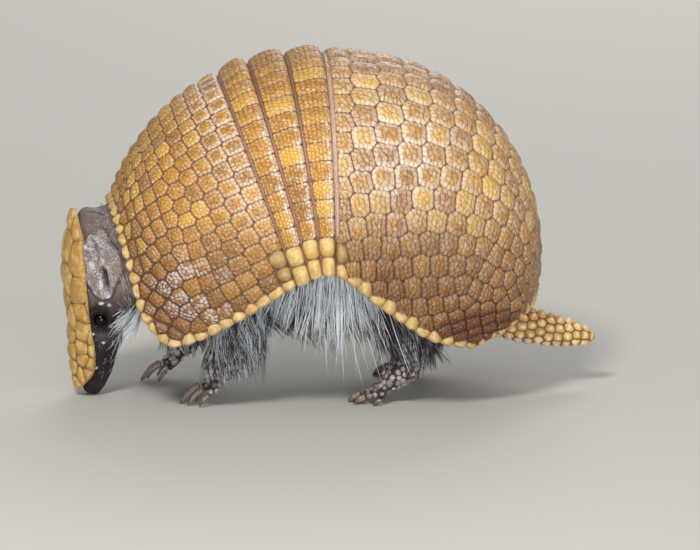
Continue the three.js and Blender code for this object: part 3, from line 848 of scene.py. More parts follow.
# Scutes of the head's shield, on one side of it: height above the floor and degrees round from the middle.
HEAD_SCUTES = [
    (78, 17), (76, 46), (64, 14), (60, 49), (50, 18), (44.5, 49), (41, 5), (37.5, 50), (34, 21),
    (29.5, 52), (26, 14), (22.5, 52), (19, 18), (16.5, 56), (12, 19), (10, 50), (6, 24), (39, 72),
    (28.5, 77), (22.5, 80), (15, 74), (9, 68),
]
TAIL_SIZE = (60, 52)
TAIL_INSET = -0.5
TUBERCLE_LONG, TUBERCLE_ROUND = 4.1, 4.6  # along the tail, and round it
TUBERCLE_HIGH, TUBERCLE_FLATTER, TUBERCLE_SINK = 1.5, 0.8, 0.75  # on top, how much less below, level of gaps
TUBERCLE_STEP = 0.35
FIRST_TUBERCLES = 0.6  # how far along the tail the first ring is


def limb(rows, h, angle, outset, bluntness):
    """Points of a limb's surface: h runs along it from 0 to 1, and at angle 0 it faces along its depth."""
    h, angle = np.broadcast_arrays(np.asarray(h, float), np.asarray(angle, float))
    last, step = len(rows) - 1, 1e-3
    centre = through(rows, h * last)
    along = unit(through(rows, (h + step) * last)[..., :3] - through(rows, (h - step) * last)[..., :3])
    side = unit(np.array([0, 1, 0]) - along * along[..., 1:2])
    deep = np.cross(side, along)
    ending = np.maximum(0, 1 - np.abs(2 * h - 1) ** bluntness) ** (1 / bluntness)
    half = (centre[..., 3:5] + outset) * ending[..., None]
    place = centre[..., :3] + along * (outset * (2 * h - 1))[..., None]
    place = place + side * half[..., :1] * np.sin(angle)[..., None]
    place = place + deep * half[..., 1:] * np.cos(angle)[..., None]
    return place + (CENTRE_X, 0, 0)


def head_material():
    m = Shader("head_scutes", 0.5)
    edge, tone = m.attributes("edge tone")
    mottle, fine = m.noise(0.25), m.noise(1.8, 4.0)
    patches = m.ramp(m.plus(mottle, m.times(tone, 0.25)), 0.42, 0.78)
    body = m.mix(patches, rgb(222, 192, 112), rgb(190, 144, 72))
    body = m.mix(m.ramp(fine, 0.46, 0.66, 0.0, 0.55), body, rgb(168, 112, 58))
    body = m.mix(m.ramp(m.noise(0.7), 0.56, 0.72, 0.0, 0.6), body, rgb(236, 216, 156))
    body = m.mix(m.ramp(edge, 0.15, 1.0, 0.4, 0.0), body, rgb(170, 122, 66))
    m.set("Base Color", m.mix(m.ramp(edge, 0.06, 0.26, 1.0, 0.0), body, rgb(112, 80, 56)))
    m.set("Roughness", m.ramp(fine, 0.3, 0.7, 0.38, 0.58))
    m.bump(fine, 0.3)
    return m.material


def head_shield():
    rng = dice(60)
    spacing = 0.42 * COARSE
    rows, columns = (int(size / spacing) for size in HEAD_SHIELD_SIZE)
    u, v = np.meshgrid(np.linspace(0, 1, rows), np.linspace(-1, 1, columns), indexing="ij")
    h = HEAD_SHIELD_FROM + (HEAD_SHIELD_TO - HEAD_SHIELD_FROM) * u
    reach = through(HEAD_REACH[:, None], h * (len(HEAD_REACH) - 1))[..., 0]
    rounded = np.maximum((1 - np.abs(2 * u - 1) ** 6) ** (1 / 3), HEAD_SHIELD_LEAST)
    angle = v * np.radians(reach) * rounded
    top = HEAD_PLATE_LIFT + HEAD_PLATE
    surface = limb(HEAD, h, angle, top, HEAD_BLUNTNESS)
    inside = limb(HEAD, h, angle, HEAD_PLATE_LIFT, HEAD_BLUNTNESS)
    outward = unit(np.cross(np.gradient(surface, axis=1), np.gradient(surface, axis=0)))
    outward *= np.sign(((surface - inside) * outward).sum(axis=-1, keepdims=True))

    front = limb(HEAD, h[:, 0], 0.0, top, HEAD_BLUNTNESS)[:, 2]
    centres = []
    for side in SIDES.values():
        for z, degrees in HEAD_SCUTES:
            place = np.interp(z + rng.uniform(-1, 1), front[::-1], h[::-1, 0])
            turn = np.radians(degrees + rng.uniform(-2, 2)) * side
            centres.append(limb(HEAD, place, turn, top, HEAD_BLUNTNESS))
    flat = surface.reshape(-1, 3)
    owner, edge = cell_edges(np.array(centres), flat, 0.45)
    down, across = grid_lengths(surface)
    to_end, to_side = np.minimum(down, down[-1] - down), np.minimum(across, across[:, -1:] - across)
    to_rim = np.minimum(to_end, to_side).ravel()
    edge = np.minimum(edge, to_rim + HEAD_RIM_INSET)
    lift = HEAD_STEP * (1 - np.exp(-edge / 0.6)) + HEAD_SWELL * smoothstep(0.3, 3.2, edge) - HEAD_SINK
    lift -= HEAD_RIM_DROP * (1 - smoothstep(0, 1.2, to_rim))
    attributes = {"edge": edge, "tone": number(len(centres), owner, 61)}
    uv = np.stack([v * 0.49 + 0.5, u * 0.9], axis=-1).reshape(-1, 2)
    outer = flat + outward.reshape(-1, 3) * lift[:, None]
    add_plate("head_shield_scutes", outer, inside, rows // 10, attributes, uv, (0.01, 0.99), (0.91, 0.99),
              head_material(), "head_shield", ["head_shield"])


def tail_material():
    m = Shader("tail_tubercles", 0.45)
    edge, tone, under = m.attributes("edge tone under")
    mottle, fine = m.noise(0.5), m.noise(2.4)
    patches = m.ramp(m.plus(mottle, m.times(tone, 0.3)), 0.4, 0.85)
    body = m.mix(patches, rgb(236, 200, 128), rgb(202, 150, 82))
    body = m.mix(m.times(under, 0.8), body, rgb(196, 188, 184))
    body = m.mix(m.ramp(edge, 0.9, 1.7, 0.0, 0.55), body, rgb(250, 232, 186))
    skin = m.mix(fine, rgb(92, 62, 46), rgb(140, 100, 76))
    m.set("Base Color", m.mix(m.ramp(edge, 0.12, 0.55, 1.0, 0.0), body, skin))
    m.set("Roughness", m.ramp(fine, 0.3, 0.7, 0.4, 0.6))
    m.bump(fine, 0.18)
    return m.material


def tail():
    rng = dice(70)
    spacing = 0.4 * COARSE
    rows, columns = int(TAIL_SIZE[0] / spacing), int(TAIL_SIZE[1] / spacing) + 1
    h, angle = np.meshgrid(np.linspace(0, 1, rows), np.linspace(-math.pi, math.pi, columns), indexing="ij")
    surface = limb(TAIL, h, angle, TAIL_INSET, TAIL_BLUNTNESS)
    axis = through(TAIL, h * (len(TAIL) - 1))[..., :3] + (CENTRE_X, 0, 0)
    outward = unit(surface - axis)
    spine = running_length(surface[:, columns // 2])
    girths = np.linalg.norm(np.diff(surface, axis=1), axis=2).sum(axis=1)
    centres = []
    place, ring = FIRST_TUBERCLES, 0
    while place < spine[-1]:
        along = np.interp(place, spine, h[:, 0])
        count = max(3, round(np.interp(along, h[:, 0], girths) / TUBERCLE_ROUND))
        for k in range(count):
            turn = 2 * math.pi * (k + 0.5 * (ring % 2) + rng.uniform(-0.1, 0.1)) / count - math.pi
            nudged = np.clip(along + rng.uniform(-0.004, 0.004), 0, 1)
            centres.append(limb(TAIL, nudged, turn, TAIL_INSET, TAIL_BLUNTNESS))
        place += TUBERCLE_LONG
        ring += 1
    flat = surface.reshape(-1, 3)
    owner, edge = cell_edges(np.array(centres), flat, 0.3)
    under = smoothstep(1.2, 0.5, np.abs(angle)).ravel()
    lift = (TUBERCLE_HIGH - TUBERCLE_FLATTER * under) * smoothstep(0.1, 1.9, edge) - TUBERCLE_SINK
    lift += TUBERCLE_STEP * smoothstep(0.2, 0.7, edge)
    points = flat + outward.reshape(-1, 3) * lift[:, None]
    attributes = {"edge": edge, "tone": number(len(centres), owner, 71), "under": under}
    uv = np.stack([(angle / math.pi) * 0.49 + 0.5, h * 0.98 + 0.01], axis=-1).reshape(-1, 2)
    add_piece("tail_tubercles", points, [grid_faces(rows, columns)], attributes, uv,
              tail_material(), "tail", ["tail"])


head_shield()
tail()

# ---------------------------------------------------------------- skin

FLESH = ["head", "neck", "trunk", "ear_left", "ear_right", "foreleg_left", "foreleg_right", "hindleg_left",
         "hindleg_right"]
FUSE = 0.4  # how far the nodes of flesh grow, so that the cuts between them close
COAT_DEPTH = 0.35  # how far the skin lies inside them
SKIN_VOXEL, SKIN_SOFTENING = 0.95, 5
HIDDEN_ABOVE, HIDDEN_BEHIND = 64.0, -78  # the flesh higher and farther back than this is under the shell
HIDDEN_THINNING = 0.85

EYE = np.array([-96.6, 14.1, 34.8])
EYE_RADIUS = 3.1
EYE_SOCKET = 1.2  # how much wider the flesh round the eye is
EYE_AXIS = (-0.22, 0.06)  # which way an eye looks, in x and z
EYE_REACHES = (9.5, 6.5)  # the skin's mesh is made finer this near an eye, once for each
EYE_WIDE, EYE_LOWER, UPPER_LID = 3.1, 0.45, 0.15  # half the opening's width, and how much less high it is
LID_THICKNESS, LID_WIDTH, BEHIND_EYE = 0.38, (0.75, 1.1), 0.45  # the last: how far skin lies in the eyeball
SOCKET_DEPTH, SOCKET_SLOPE, SOCKET_WIDTH = 1.25, 0.1, 3.2
EYE_BLEND = (4.6, 7.6)  # how far round an eye the skin takes its new shape fully, and at all
EYE_NEAR = (8.5, -2.5, 7)  # the skin that can move round an eye: how far aside, and from and to what height

# Lines on the head in side view, as (x, z). The slit is a deeper stretch of the ear's groove.
EAR_LINE = [(-96.6, 49.0), (-99.0, 70.5)]
EAR_GROOVE = [(-100.6, 70.5), (-99.3, 66), (-96.8, 59.5), (-95.5, 54), (-94.4, 48.6)]
EAR_SLIT = [(-96, 57), (-95.3, 51)]
MOUTH = [(-96.4, 1.2), (-92.6, 6), (-90.9, 12), (-90.2, 17)]
EAR_ROOT_WIDTH, EAR_WIDTH = 8.4, 9.0
# How far the skin rises at the ear's crest and rim and at a bead, and how far it sinks in its grooves.
CREST_RISE, RIM_RISE, BEAD_RISE = 0.7, 0.5, 0.55
GROOVE_SINK, SLIT_SINK, MOAT_SINK, MOUTH_SINK, NOSTRIL_SINK = 1.0, 1.2, 1.0, 0.55, 1.1
NOSTRIL = (-103.6, 2.6, 3.4)
# The white beads of the face in side view: x, z, half width and half height.
FACE_BEADS = [
    (-101.2, 59.5, 1.5, 2.2), (-96.9, 61, 1.1, 2.6), (-97.0, 51.2, 1.0, 2.6), (-93.9, 46.0, 1.0, 1.4),
    (-97.0, 42.3, 1.5, 1.1), (-93.5, 41.5, 1.0, 1.0), (-92.2, 31.8, 1.1, 0.9), (-100.2, 28.4, 0.7, 0.6),
    (-99.6, 19.4, 0.8, 0.6), (-98.7, 12.8, 0.6, 1.0), (-95.4, 24.5, 0.5, 0.5), (-103.6, 67.5, 0.8, 1.0),
]


def shape_of(work, move=lambda vertex: vertex.co):
    """A bmesh's points and faces as plain arrays and lists, and the bmesh freed."""
    points = np.array([move(v) for v in work.verts])
    faces = [[v.index for v in face.verts] for face in work.faces]
    work.free()
    return points, faces


def frame_shape(name, outset):
    """A CAD node's points in millimetres, moved outwards, and its faces."""
    work = bmesh.new()
    work.from_mesh(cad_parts[name].data)
    bmesh.ops.remove_doubles(work, verts=work.verts, dist=1e-7)
    work.normal_update()
    return shape_of(work, lambda v: v.co / MM + v.normal * outset)


def ball_shape(centre, radius, around=24, along=16):
    work = bmesh.new()
    bmesh.ops.create_uvsphere(work, u_segments=around, v_segments=along, radius=radius)
    points, faces = shape_of(work)
    return points + centre, faces


def modified(mesh, prepare):
    """The mesh that the modifiers give which prepare(object) adds, in place of the mesh itself."""
    holder = bpy.data.objects.new("holder", mesh)
    bpy.context.scene.collection.objects.link(holder)
    prepare(holder)
    made = bpy.data.meshes.new_from_object(holder.evaluated_get(bpy.context.evaluated_depsgraph_get()))
    bpy.data.objects.remove(holder)
    bpy.data.meshes.remove(mesh)
    return made


def remeshed(shapes, voxel, softening):
    """Closed shapes joined into one even, softened mesh in millimetres."""
    points, faces, start = [], [], 0
    for shape_points, shape_faces in shapes:
        points.append(shape_points)
        faces += [[i + start for i in face] for face in shape_faces]
        start += len(shape_points)
    mesh = bpy.data.meshes.new("joined")
    mesh.from_pydata(np.concatenate(points), [], faces)

    def prepare(holder):
        even = holder.modifiers.new("even", "REMESH")
        even.mode = "VOXEL"
        even.voxel_size = voxel
        soft = holder.modifiers.new("soft", "SMOOTH")
        soft.factor = 0.5
        soft.iterations = softening

    return modified(mesh, prepare)


def numbers(mesh_part, key, width):
    """A property of a mesh's points or faces as an array."""
    values = np.zeros(len(mesh_part) * width, np.float32)
    mesh_part.foreach_get(key, values)
    return values.astype(float).reshape(-1, width)


def in_metres(mesh, points):
    """Gives a mesh new points, which are in millimetres."""
    metres = points.astype(np.float32).astype(float) * MM
    mesh.vertices.foreach_set("co", metres.astype(np.float32).ravel())
    mesh.update()


def mirrored(place, side):
    return np.array([place[0] + CENTRE_X, place[1] * side, place[2]])


def line_distance(points, line):
    """How far points are from a line of places."""
    best = np.full(len(points), 1e9)
    for a, b in zip(np.array(line[:-1], float), np.array(line[1:], float)):
        share = np.clip((points - a) @ (b - a) / ((b - a) @ (b - a)), 0, 1)
        best = np.minimum(best, np.linalg.norm(points - a - share[:, None] * (b - a), axis=1))
    return best


def ear_leaf(side_view):
    """How far across the ear each point is, as a share of its half width: 1 is at its edge."""
    root, tip = np.array(EAR_LINE)
    long = np.linalg.norm(tip - root)
    axis = (tip - root) / long
    u = np.clip((side_view - root) @ axis / long, 0, 1)
    leaf = np.maximum(np.sin(math.pi * (0.1 + 0.82 * u**0.95)), 0.02) ** 0.5
    half = (EAR_ROOT_WIDTH + (EAR_WIDTH - EAR_ROOT_WIDTH) * np.minimum(1, 2 * u)) * leaf
    return line_distance(side_view, EAR_LINE) / half


def with_eyelids(points):
    """The skin's points with lids and a hollow round each eye, and how much of each point is lid."""
    lid = np.zeros(len(points))
    for side in SIDES.values():
        axis = unit(np.array([EYE_AXIS[0], side, EYE_AXIS[1]]))
        up = unit(np.array([0.0, 0.0, 1.0]) - axis * axis[2])
        local = points - mirrored(EYE, side)
        height, y, x = local @ axis, local @ up, local @ np.cross(axis, up)
        wide = np.hypot(x, y)
        near = (wide < EYE_NEAR[0]) & (height > EYE_NEAR[1]) & (height < EYE_NEAR[2])
        upward = np.sin(np.arctan2(y, x))
        opening = EYE_WIDE - EYE_LOWER * np.abs(upward) ** 1.5 - UPPER_LID * (upward > 0) * upward
        behind_eye = np.sqrt(np.maximum((EYE_RADIUS - BEHIND_EYE) ** 2 - wide**2, 0))
        on_eye = np.sqrt(np.maximum((EYE_RADIUS + LID_THICKNESS) ** 2 - wide**2, 0.3))
        socket = np.minimum(height, SOCKET_DEPTH + SOCKET_SLOPE * (wide - SOCKET_WIDTH))
        beyond = wide - opening
        on_lid = smoothstep(LID_WIDTH[1], LID_WIDTH[0], beyond)
        shaped = np.where(beyond < 0, behind_eye, on_lid * on_eye + (1 - on_lid) * socket)
        blend = smoothstep(EYE_BLEND[1], EYE_BLEND[0], wide)
        target = shaped * blend + height * (1 - blend)
        points = np.where(near[:, None], points + axis * (target - height)[:, None], points)
        lid = np.maximum(lid, near * smoothstep(7.0, 4.0, wide))
    return points, lid


def skin_mesh():
    """The one skin over all the flesh, in millimetres, with fewer triangles where the shell hides it."""
    shapes = [frame_shape(name, FUSE) for name in FLESH]
    shapes += [ball_shape(mirrored(EYE, side), EYE_RADIUS + EYE_SOCKET) for side in SIDES.values()]
    mesh = remeshed(shapes, SKIN_VOXEL * COARSE, SKIN_SOFTENING)
    work = bmesh.new()
    work.from_mesh(mesh)
    for reach in EYE_REACHES:
        close = []
        for side in SIDES.values():
            centre = Vector(mirrored(EYE, side))
            close += [e for e in work.edges if (e.verts[0].co - centre).length < reach]
        bmesh.ops.subdivide_edges(work, edges=close, cuts=1, use_grid_fill=True)
    bmesh.ops.triangulate(work, faces=work.faces)
    work.to_mesh(mesh)
    work.free()

    def prepare(holder):
        points = numbers(mesh.vertices, "co", 3)
        hidden = (points[:, 2] > HIDDEN_ABOVE) & (points[:, 0] > HIDDEN_BEHIND)
        holder.vertex_groups.new(name="hidden").add(np.flatnonzero(hidden).tolist(), 1.0, "REPLACE")
        thin = holder.modifiers.new("thin", "DECIMATE")
        thin.vertex_group = "hidden"
        thin.ratio = 1 - HIDDEN_THINNING * float(hidden.mean())

    return modified(mesh, prepare)


def skin_material():
    m = Shader("skin", 0.35)
    m.set("Subsurface Weight", 0.04)
    ear, neck, snout, belly, foot = m.attributes("ear neck snout belly foot")
    lid, groove, bead = m.attributes("lid groove bead")
    mottle, fine = m.noise(0.22), m.noise(1.6, 4.0)
    body = m.mix(m.ramp(mottle, 0.35, 0.7), rgb(58, 45, 43), rgb(98, 80, 74))
    body = m.mix(belly, body, m.mix(mottle, rgb(70, 54, 54), rgb(104, 84, 80)))
    body = m.mix(snout, body, m.mix(m.ramp(mottle, 0.3, 0.7), rgb(22, 16, 20), rgb(42, 33, 37)))
    body = m.mix(foot, body, m.mix(fine, rgb(40, 31, 34), rgb(72, 58, 60)))
    freckles = m.ramp(m.cells(0.9), 0.12, 0.3, 0.75, 0.0)
    grey = m.mix(mottle, rgb(96, 80, 76), rgb(140, 124, 118))
    body = m.mix(neck, body, m.mix(freckles, grey, rgb(196, 190, 190)))
    grains = m.ramp(m.cells(1.5), 0.25, 0.75, 1.0, 0.0)
    pale = m.mix(m.ramp(mottle, 0.4, 0.6), rgb(222, 222, 230), rgb(176, 160, 152))
    body = m.mix(ear, body, m.mix(grains, rgb(142, 124, 116), pale))
    body = m.mix(bead, body, rgb(236, 232, 232))
    # painted shade in the ear's groove and slit, the mouth's line, the nostrils and round the ear
    body = m.mix(groove, body, rgb(66, 46, 42))
    m.set("Base Color", m.mix(m.times(lid, 0.9), body, rgb(26, 19, 20)))
    m.set("Roughness", m.ramp(fine, 0.3, 0.7, 0.5, 0.72))
    m.bump(m.plus(fine, m.times(grains, m.times(ear, 1.2))), 0.28)
    return m.material


def skin():
    mesh = skin_mesh()
    points, normals = numbers(mesh.vertices, "co", 3), numbers(mesh.vertices, "normal", 3)
    x, y, z = (points - (CENTRE_X, 0, 0)).T
    aside = np.abs(y)
    side_view = np.stack([x, z], axis=1)

    def lift(height):
        points[:] += normals * height[:, None]

    points -= normals * (FUSE + COAT_DEPTH)
    leaf = ear_leaf(side_view)
    beside = smoothstep(15, 17.5, aside) * smoothstep(40, 43, z) * (x < -84)
    on_ear = smoothstep(1.08, 0.92, leaf) * beside
    moat = bell(leaf - 1.12, 0.1) * beside
    ear_rim = bell(leaf - 0.84, 0.1) * beside
    outer = smoothstep(0.1, 0.5, normals[:, 1] * np.sign(y)) * on_ear
    to_groove = line_distance(side_view, EAR_GROOVE)
    groove = bell(to_groove, 0.85) * outer
    slit = bell(line_distance(side_view, EAR_SLIT), 0.8) * outer
    crest = bell(to_groove - 2.6, 1.5) * outer
    relief = CREST_RISE * crest - GROOVE_SINK * groove - SLIT_SINK * slit + RIM_RISE * ear_rim
    lift(relief - MOAT_SINK * moat)
    bead = np.zeros(len(points))
    for bead_x, bead_z, wide, high in FACE_BEADS:
        spread = ((x - bead_x) / wide) ** 2 + ((z - bead_z) / high) ** 2
        bead = np.maximum(bead, smoothstep(1.0, 0.35, spread) * (aside > 5) * (x < -88))
    lift(BEAD_RISE * bead)
    mouth = bell(line_distance(side_view, MOUTH), 0.55) * (aside > 3)
    lift(-MOUTH_SINK * mouth)
    nostril = np.zeros(len(points))
    for side in SIDES.values():
        away = np.stack([x - NOSTRIL[0], (y - NOSTRIL[1] * side) * 1.1, (z - NOSTRIL[2]) * 0.8], axis=1)
        nostril = np.maximum(nostril, bell(np.linalg.norm(away, axis=1), 1.1))
    lift(-NOSTRIL_SINK * nostril)
    points, lid = with_eyelids(points)
    points[:, 2] = np.maximum(points[:, 2], 0)
    in_metres(mesh, points)
    attributes = {
        "ear": on_ear * (1 - 0.3 * smoothstep(-97, -92, x)),
        "neck": smoothstep(-73, -79, x) * smoothstep(36, 50, z),
        "snout": smoothstep(-84, -88, x) * smoothstep(30, 20, z),
        "belly": smoothstep(-84, -70, x) * smoothstep(30, 10, aside) * smoothstep(26, 30, z) * 0.6,
        "foot": smoothstep(30, 22, z) * smoothstep(-86, -82, x),
        "lid": lid,
        # painted shade in the grooves and hollows
        "groove": np.clip(0.55 * groove + slit + 0.7 * mouth + nostril + 0.7 * moat, 0, 1),
        "bead": bead,
    }
    return put_on_frame(mesh, "skin_all", attributes, skin_material(), "skin", FLESH)


SKIN = skin()

# ---------------------------------------------------------------- eyes and claws

EYEBALL_RADIUS = EYE_RADIUS + 0.08
EYEBALL_STEPS = (48, 32)
CLAW_OUTSET, CLAW_VOXEL, CLAW_SOFTENING = 0.1, 0.3, 7


def eyes():
    """Glossy, nearly black eyeballs."""
    m = Shader("eye", 0.16)
    m.set("Roughness", 0.06)
    m.set("Coat Weight", 0.2)
    m.set("Coat Roughness", 0.03)
    m.set("Base Color", m.mix(m.noise(0.8), rgb(4, 3, 4), rgb(14, 10, 10)))
    for name, side in SIDES.items():
        points, faces = ball_shape(mirrored(EYE, side), EYEBALL_RADIUS, *EYEBALL_STEPS)
        mesh = bpy.data.meshes.new("eye")
        mesh.from_pydata(points, [], faces)
        in_metres(mesh, points)
        put_on_frame(mesh, f"eye_{name}_ball", {}, m.material, "eye", [f"eye_{name}"])


def claws():
    m = Shader("claw", 0.5)
    m.set("Roughness", 0.38)
    streaks = m.noise(1.3, 5.0)
    horn = m.mix(m.ramp(streaks, 0.35, 0.68), rgb(150, 132, 118), rgb(98, 78, 70))
    tip = m.ramp(m.attribute("tip"), 0.0, 1.0, 0.0, 0.75)
    m.set("Base Color", m.mix(tip, horn, rgb(84, 62, 48)))
    m.bump(streaks, 0.08)
    for name in sorted(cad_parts):
        if name.startswith("claw_"):
            mesh = remeshed([frame_shape(name, CLAW_OUTSET)], CLAW_VOXEL * COARSE, CLAW_SOFTENING)
            points = numbers(mesh.vertices, "co", 3)
            points[:, 2] = np.maximum(points[:, 2], 0)
            in_metres(mesh, points)
            tips = {"tip": smoothstep(3.2, 0.4, points[:, 2])}
            put_on_frame(mesh, name + "_horn", tips, m.material, "claw", [name])


eyes()
claws()

# ---------------------------------------------------------------- hair and scales

PATCH = 0.003  # how far across each hair's patch is on the colour map
BARE_ROOTS = (0.2, 0.15)  # how much of a hair its darker root is, and how much darker that is
STRAND_SIDES = (0.0, 2.094, 4.189)  # the turns of the three edges of a strand
UNWRAP_HEIGHT = 60  # of the axis that a barrel unwrap goes round
BODY, HEAD_AND_BODY, CHEEKS = (-90, 90), (-110, 90), (-110, -60)  # the stretches of x that unwraps cover

# Each leg's hair: its middle's x and y, and how high it reaches.
LEG_COATS = {
    "foreleg_left": (-44, -29, 54),
    "foreleg_right": (-57, 29, 54),
    "hindleg_left": (28, -29, 40),
    "hindleg_right": (43, 29, 40),
}
LEG_UNWRAP_HEIGHT = 70
LEAST_ABOVE_FLOOR = 0.05
SCALES_TRIED, SCALES_APART = 6000, 2.35
SCALE_RADII = (0.95, 1.7)
SCALE_HEIGHT = 0.8
SCALE_WOBBLE = 0.16
SCALE_SIDES = 9
# The rings of a scale: how wide it is, as a share of its radius, and how high, as a share of its height.
SCALE_RINGS = ((0.85, -0.5), (1.0, 0.2), (0.7, 0.78))

SKIN.data.calc_loop_triangles()
SKIN_POINTS = numbers(SKIN.data.vertices, "co", 3) / MM
SKIN_NORMALS = numbers(SKIN.data.vertices, "normal", 3)
SKIN_TRIANGLES = numbers(SKIN.data.loop_triangles, "vertices", 3).astype(int)


def roots_on_skin(count, density, rng):
    """Places spread over the skin at random, and their normals.

    They are as thick as density(x, y, z, normals) says, in the drawing's own x.
    """
    corners = SKIN_POINTS[SKIN_TRIANGLES]
    facing = SKIN_NORMALS[SKIN_TRIANGLES].mean(axis=1)
    area = np.linalg.norm(np.cross(corners[:, 1] - corners[:, 0], corners[:, 2] - corners[:, 0]), axis=1)
    weight = area * density(*(corners.mean(axis=1) - (CENTRE_X, 0, 0)).T, facing)
    chosen = rng.choice(len(weight), count, p=weight / weight.sum())
    share = rng.dirichlet((1, 1, 1), count)
    return (corners[chosen] * share[:, :, None]).sum(axis=1), unit(facing[chosen])


def hairs(name, roots, heading, fall, lengths, widths, unwrap, shade, material, segments=4, locks=0,
          gather=0.8):
    """One piece of tapering, three-sided strands that start along heading and bend towards fall.

    The first so many strands lead the locks that the others gather into.
    """
    count = len(roots)
    s = np.linspace(0, 1, segments + 1)[None, :, None]
    line = roots[:, None] + lengths[:, None, None] * (heading[:, None] * s + fall[:, None] * s**2)
    if locks:
        leader = nearest(roots[:locks], roots, 1)[1][:, 0]
        line += (line[leader] - line) * gather * s**1.3
    first = unit(np.cross(unit(heading + fall), (0.31, 0.17, 0.93)))
    second = np.cross(unit(heading + fall), first)
    rings = []
    for k in range(segments):
        radius = widths * (1 - 0.8 * (k / segments) ** 1.5) / 2
        for turn in STRAND_SIDES:
            offset = first * math.cos(turn) + second * math.sin(turn)
            rings.append(line[:, k] + offset * radius[:, None])
    points = np.stack(rings + [line[:, -1]], axis=1)
    points[:, :, 2] = np.maximum(points[:, :, 2], LEAST_ABOVE_FLOOR)
    per = points.shape[1]
    quads = [(3 * k + i, 3 * k + (i + 1) % 3, 3 * k + 3 + (i + 1) % 3, 3 * k + 3 + i)
             for k in range(segments - 1) for i in range(3)]
    last = 3 * (segments - 1)
    triangles = [(last + i, last + (i + 1) % 3, per - 1) for i in range(3)] + [(2, 1, 0)]
    along = np.append(np.repeat(np.arange(segments), 3), segments) / segments
    sideways = np.append(np.tile([0, 0.5, 1], segments), 0.5)
    uv = np.clip(unwrap(roots), 0.002, 0.995)[:, None] + np.stack([sideways, along], axis=1) * PATCH
    attributes = {"shade": np.repeat(shade, per), "along": np.tile(along, count)}
    add_piece(name, points.reshape(-1, 3), repeated(count, per, quads, triangles), attributes,
              uv.reshape(-1, 2), material, "skin")


def repeated(count, per, *groups):
    """The faces of count like things, each with so many points, from groups of one thing's faces."""
    start = (np.arange(count) * per)[:, None, None]
    return [(start + np.array(group)).reshape(-1, len(group[0])) for group in groups]


def hair_material(name, dark, light):
    m = Shader(name, 0.4)
    m.set("Roughness", 0.42)
    base = m.mix(m.attribute("shade"), dark, light)
    root = m.ramp(m.attribute("along"), 0.0, *BARE_ROOTS, 0.0)
    m.set("Base Color", m.mix(root, base, rgb(104, 88, 82)))
    return m.material


def barrel(low, high):
    """An unwrap round the body's long axis, between two values of x."""

    def unwrap(points):
        turn = np.arctan2(points[:, 1], points[:, 2] - UNWRAP_HEIGHT) / (2 * math.pi) + 0.5
        return np.stack([turn, (points[:, 0] - CENTRE_X - low) / (high - low)], axis=1)

    return unwrap


def column(centre_x, centre_y):
    """An unwrap round a leg's upright axis, from the floor up."""

    def unwrap(points):
        turn = np.arctan2(points[:, 1] - centre_y, points[:, 0] - CENTRE_X - centre_x) / (2 * math.pi) + 0.5
        return np.stack([turn, points[:, 2] / LEG_UNWRAP_HEIGHT], axis=1)

    return unwrap


WHITE_HAIR = hair_material("white_hair", rgb(58, 54, 60), rgb(246, 251, 255))
SILVER_HAIR = hair_material("silver_hair", rgb(54, 47, 51), rgb(242, 249, 255))
DARK_HAIR = hair_material("dark_hair", rgb(44, 35, 36), rgb(140, 130, 128))


def some_white(rng, count, share):
    """How pale each hair is: a share of them are white, the rest nearly black."""
    white = rng.uniform(0, 1, count) < share
    return np.where(white, rng.uniform(0.75, 1, count), rng.uniform(0, 0.08, count))


def hung(rng, normals, lift, spread, flow):
    """Headings that follow flow along the skin, lifted off it a little: one flow, or one for each hair."""
    flow = np.broadcast_to(flow, normals.shape)
    flow = flow - normals * (flow * normals).sum(axis=1, keepdims=True)
    return unit(unit(unit(flow) + normals * lift) + rng.normal(0, spread, normals.shape))


def hanging(rng, count, density, ahead, out, lift, spread, fall, sway):
    """Roots, headings and falls of a coat that hangs down, and leans so far ahead and so far outwards."""
    roots, normals = roots_on_skin(count, density, rng)
    flow = np.stack([ahead * np.ones(count), out * np.sign(roots[:, 1]), -np.ones(count)], axis=1)
    heading = hung(rng, normals, lift, spread, flow)
    return roots, heading, rng.normal(0, sway, flow.shape) + fall


def fringe_roots(count, rng):
    """Roots, headings and falls of the flanks' white fringe, and how far to the rear each hair swings."""

    def density(x, y, z, normals):
        along = bell(x + 1, 20) + 0.25 * bell(x + 34, 16)
        return along * smoothstep(24, 40, np.abs(y)) * smoothstep(44, 52, z) * smoothstep(72, 62, z)

    roots, normals = roots_on_skin(count, density, rng)
    side = np.sign(roots[:, 1])
    swing = np.clip((roots[:, 0] - CENTRE_X - 1) / 20, -1.2, 1.5)
    flow = np.stack([0.4 * swing + 0.14, 0.14 * side, -np.ones(count)], axis=1)
    heading = hung(rng, normals, 0.32, 0.12, flow)
    fall = np.stack([0.2 * swing + 0.05, 0.02 * side, -0.4 * np.ones(count)], axis=1)
    return roots, heading, fall + rng.normal(0, 0.09, fall.shape), swing


def belly_fringe():
    rng = dice(80)
    count = int(1250 / COARSE)
    roots, heading, fall, swing = fringe_roots(count, rng)
    lengths = rng.uniform(11, 27, count) * (1 - 0.22 * np.abs(swing))
    shade = some_white(rng, count, 0.94 - 0.34 * np.abs(swing))
    hairs("hair_belly", roots, heading, fall, lengths, rng.uniform(0.34, 0.6, count), barrel(*BODY), shade,
          WHITE_HAIR, 5, count // 18, 0.85)


def long_strands():
    """Single long white hairs that hang out of the fringe."""
    rng = dice(83)
    count = int(150 / COARSE)
    roots, heading, fall, swing = fringe_roots(count, rng)
    lengths = rng.uniform(20, 36, count) * (1 - 0.25 * np.abs(swing))
    fall = fall + rng.normal(0, 0.08, fall.shape)
    hairs("hair_belly_long", roots, heading, fall, lengths, rng.uniform(0.34, 0.5, count), barrel(*BODY),
          np.ones(count), WHITE_HAIR, 6)


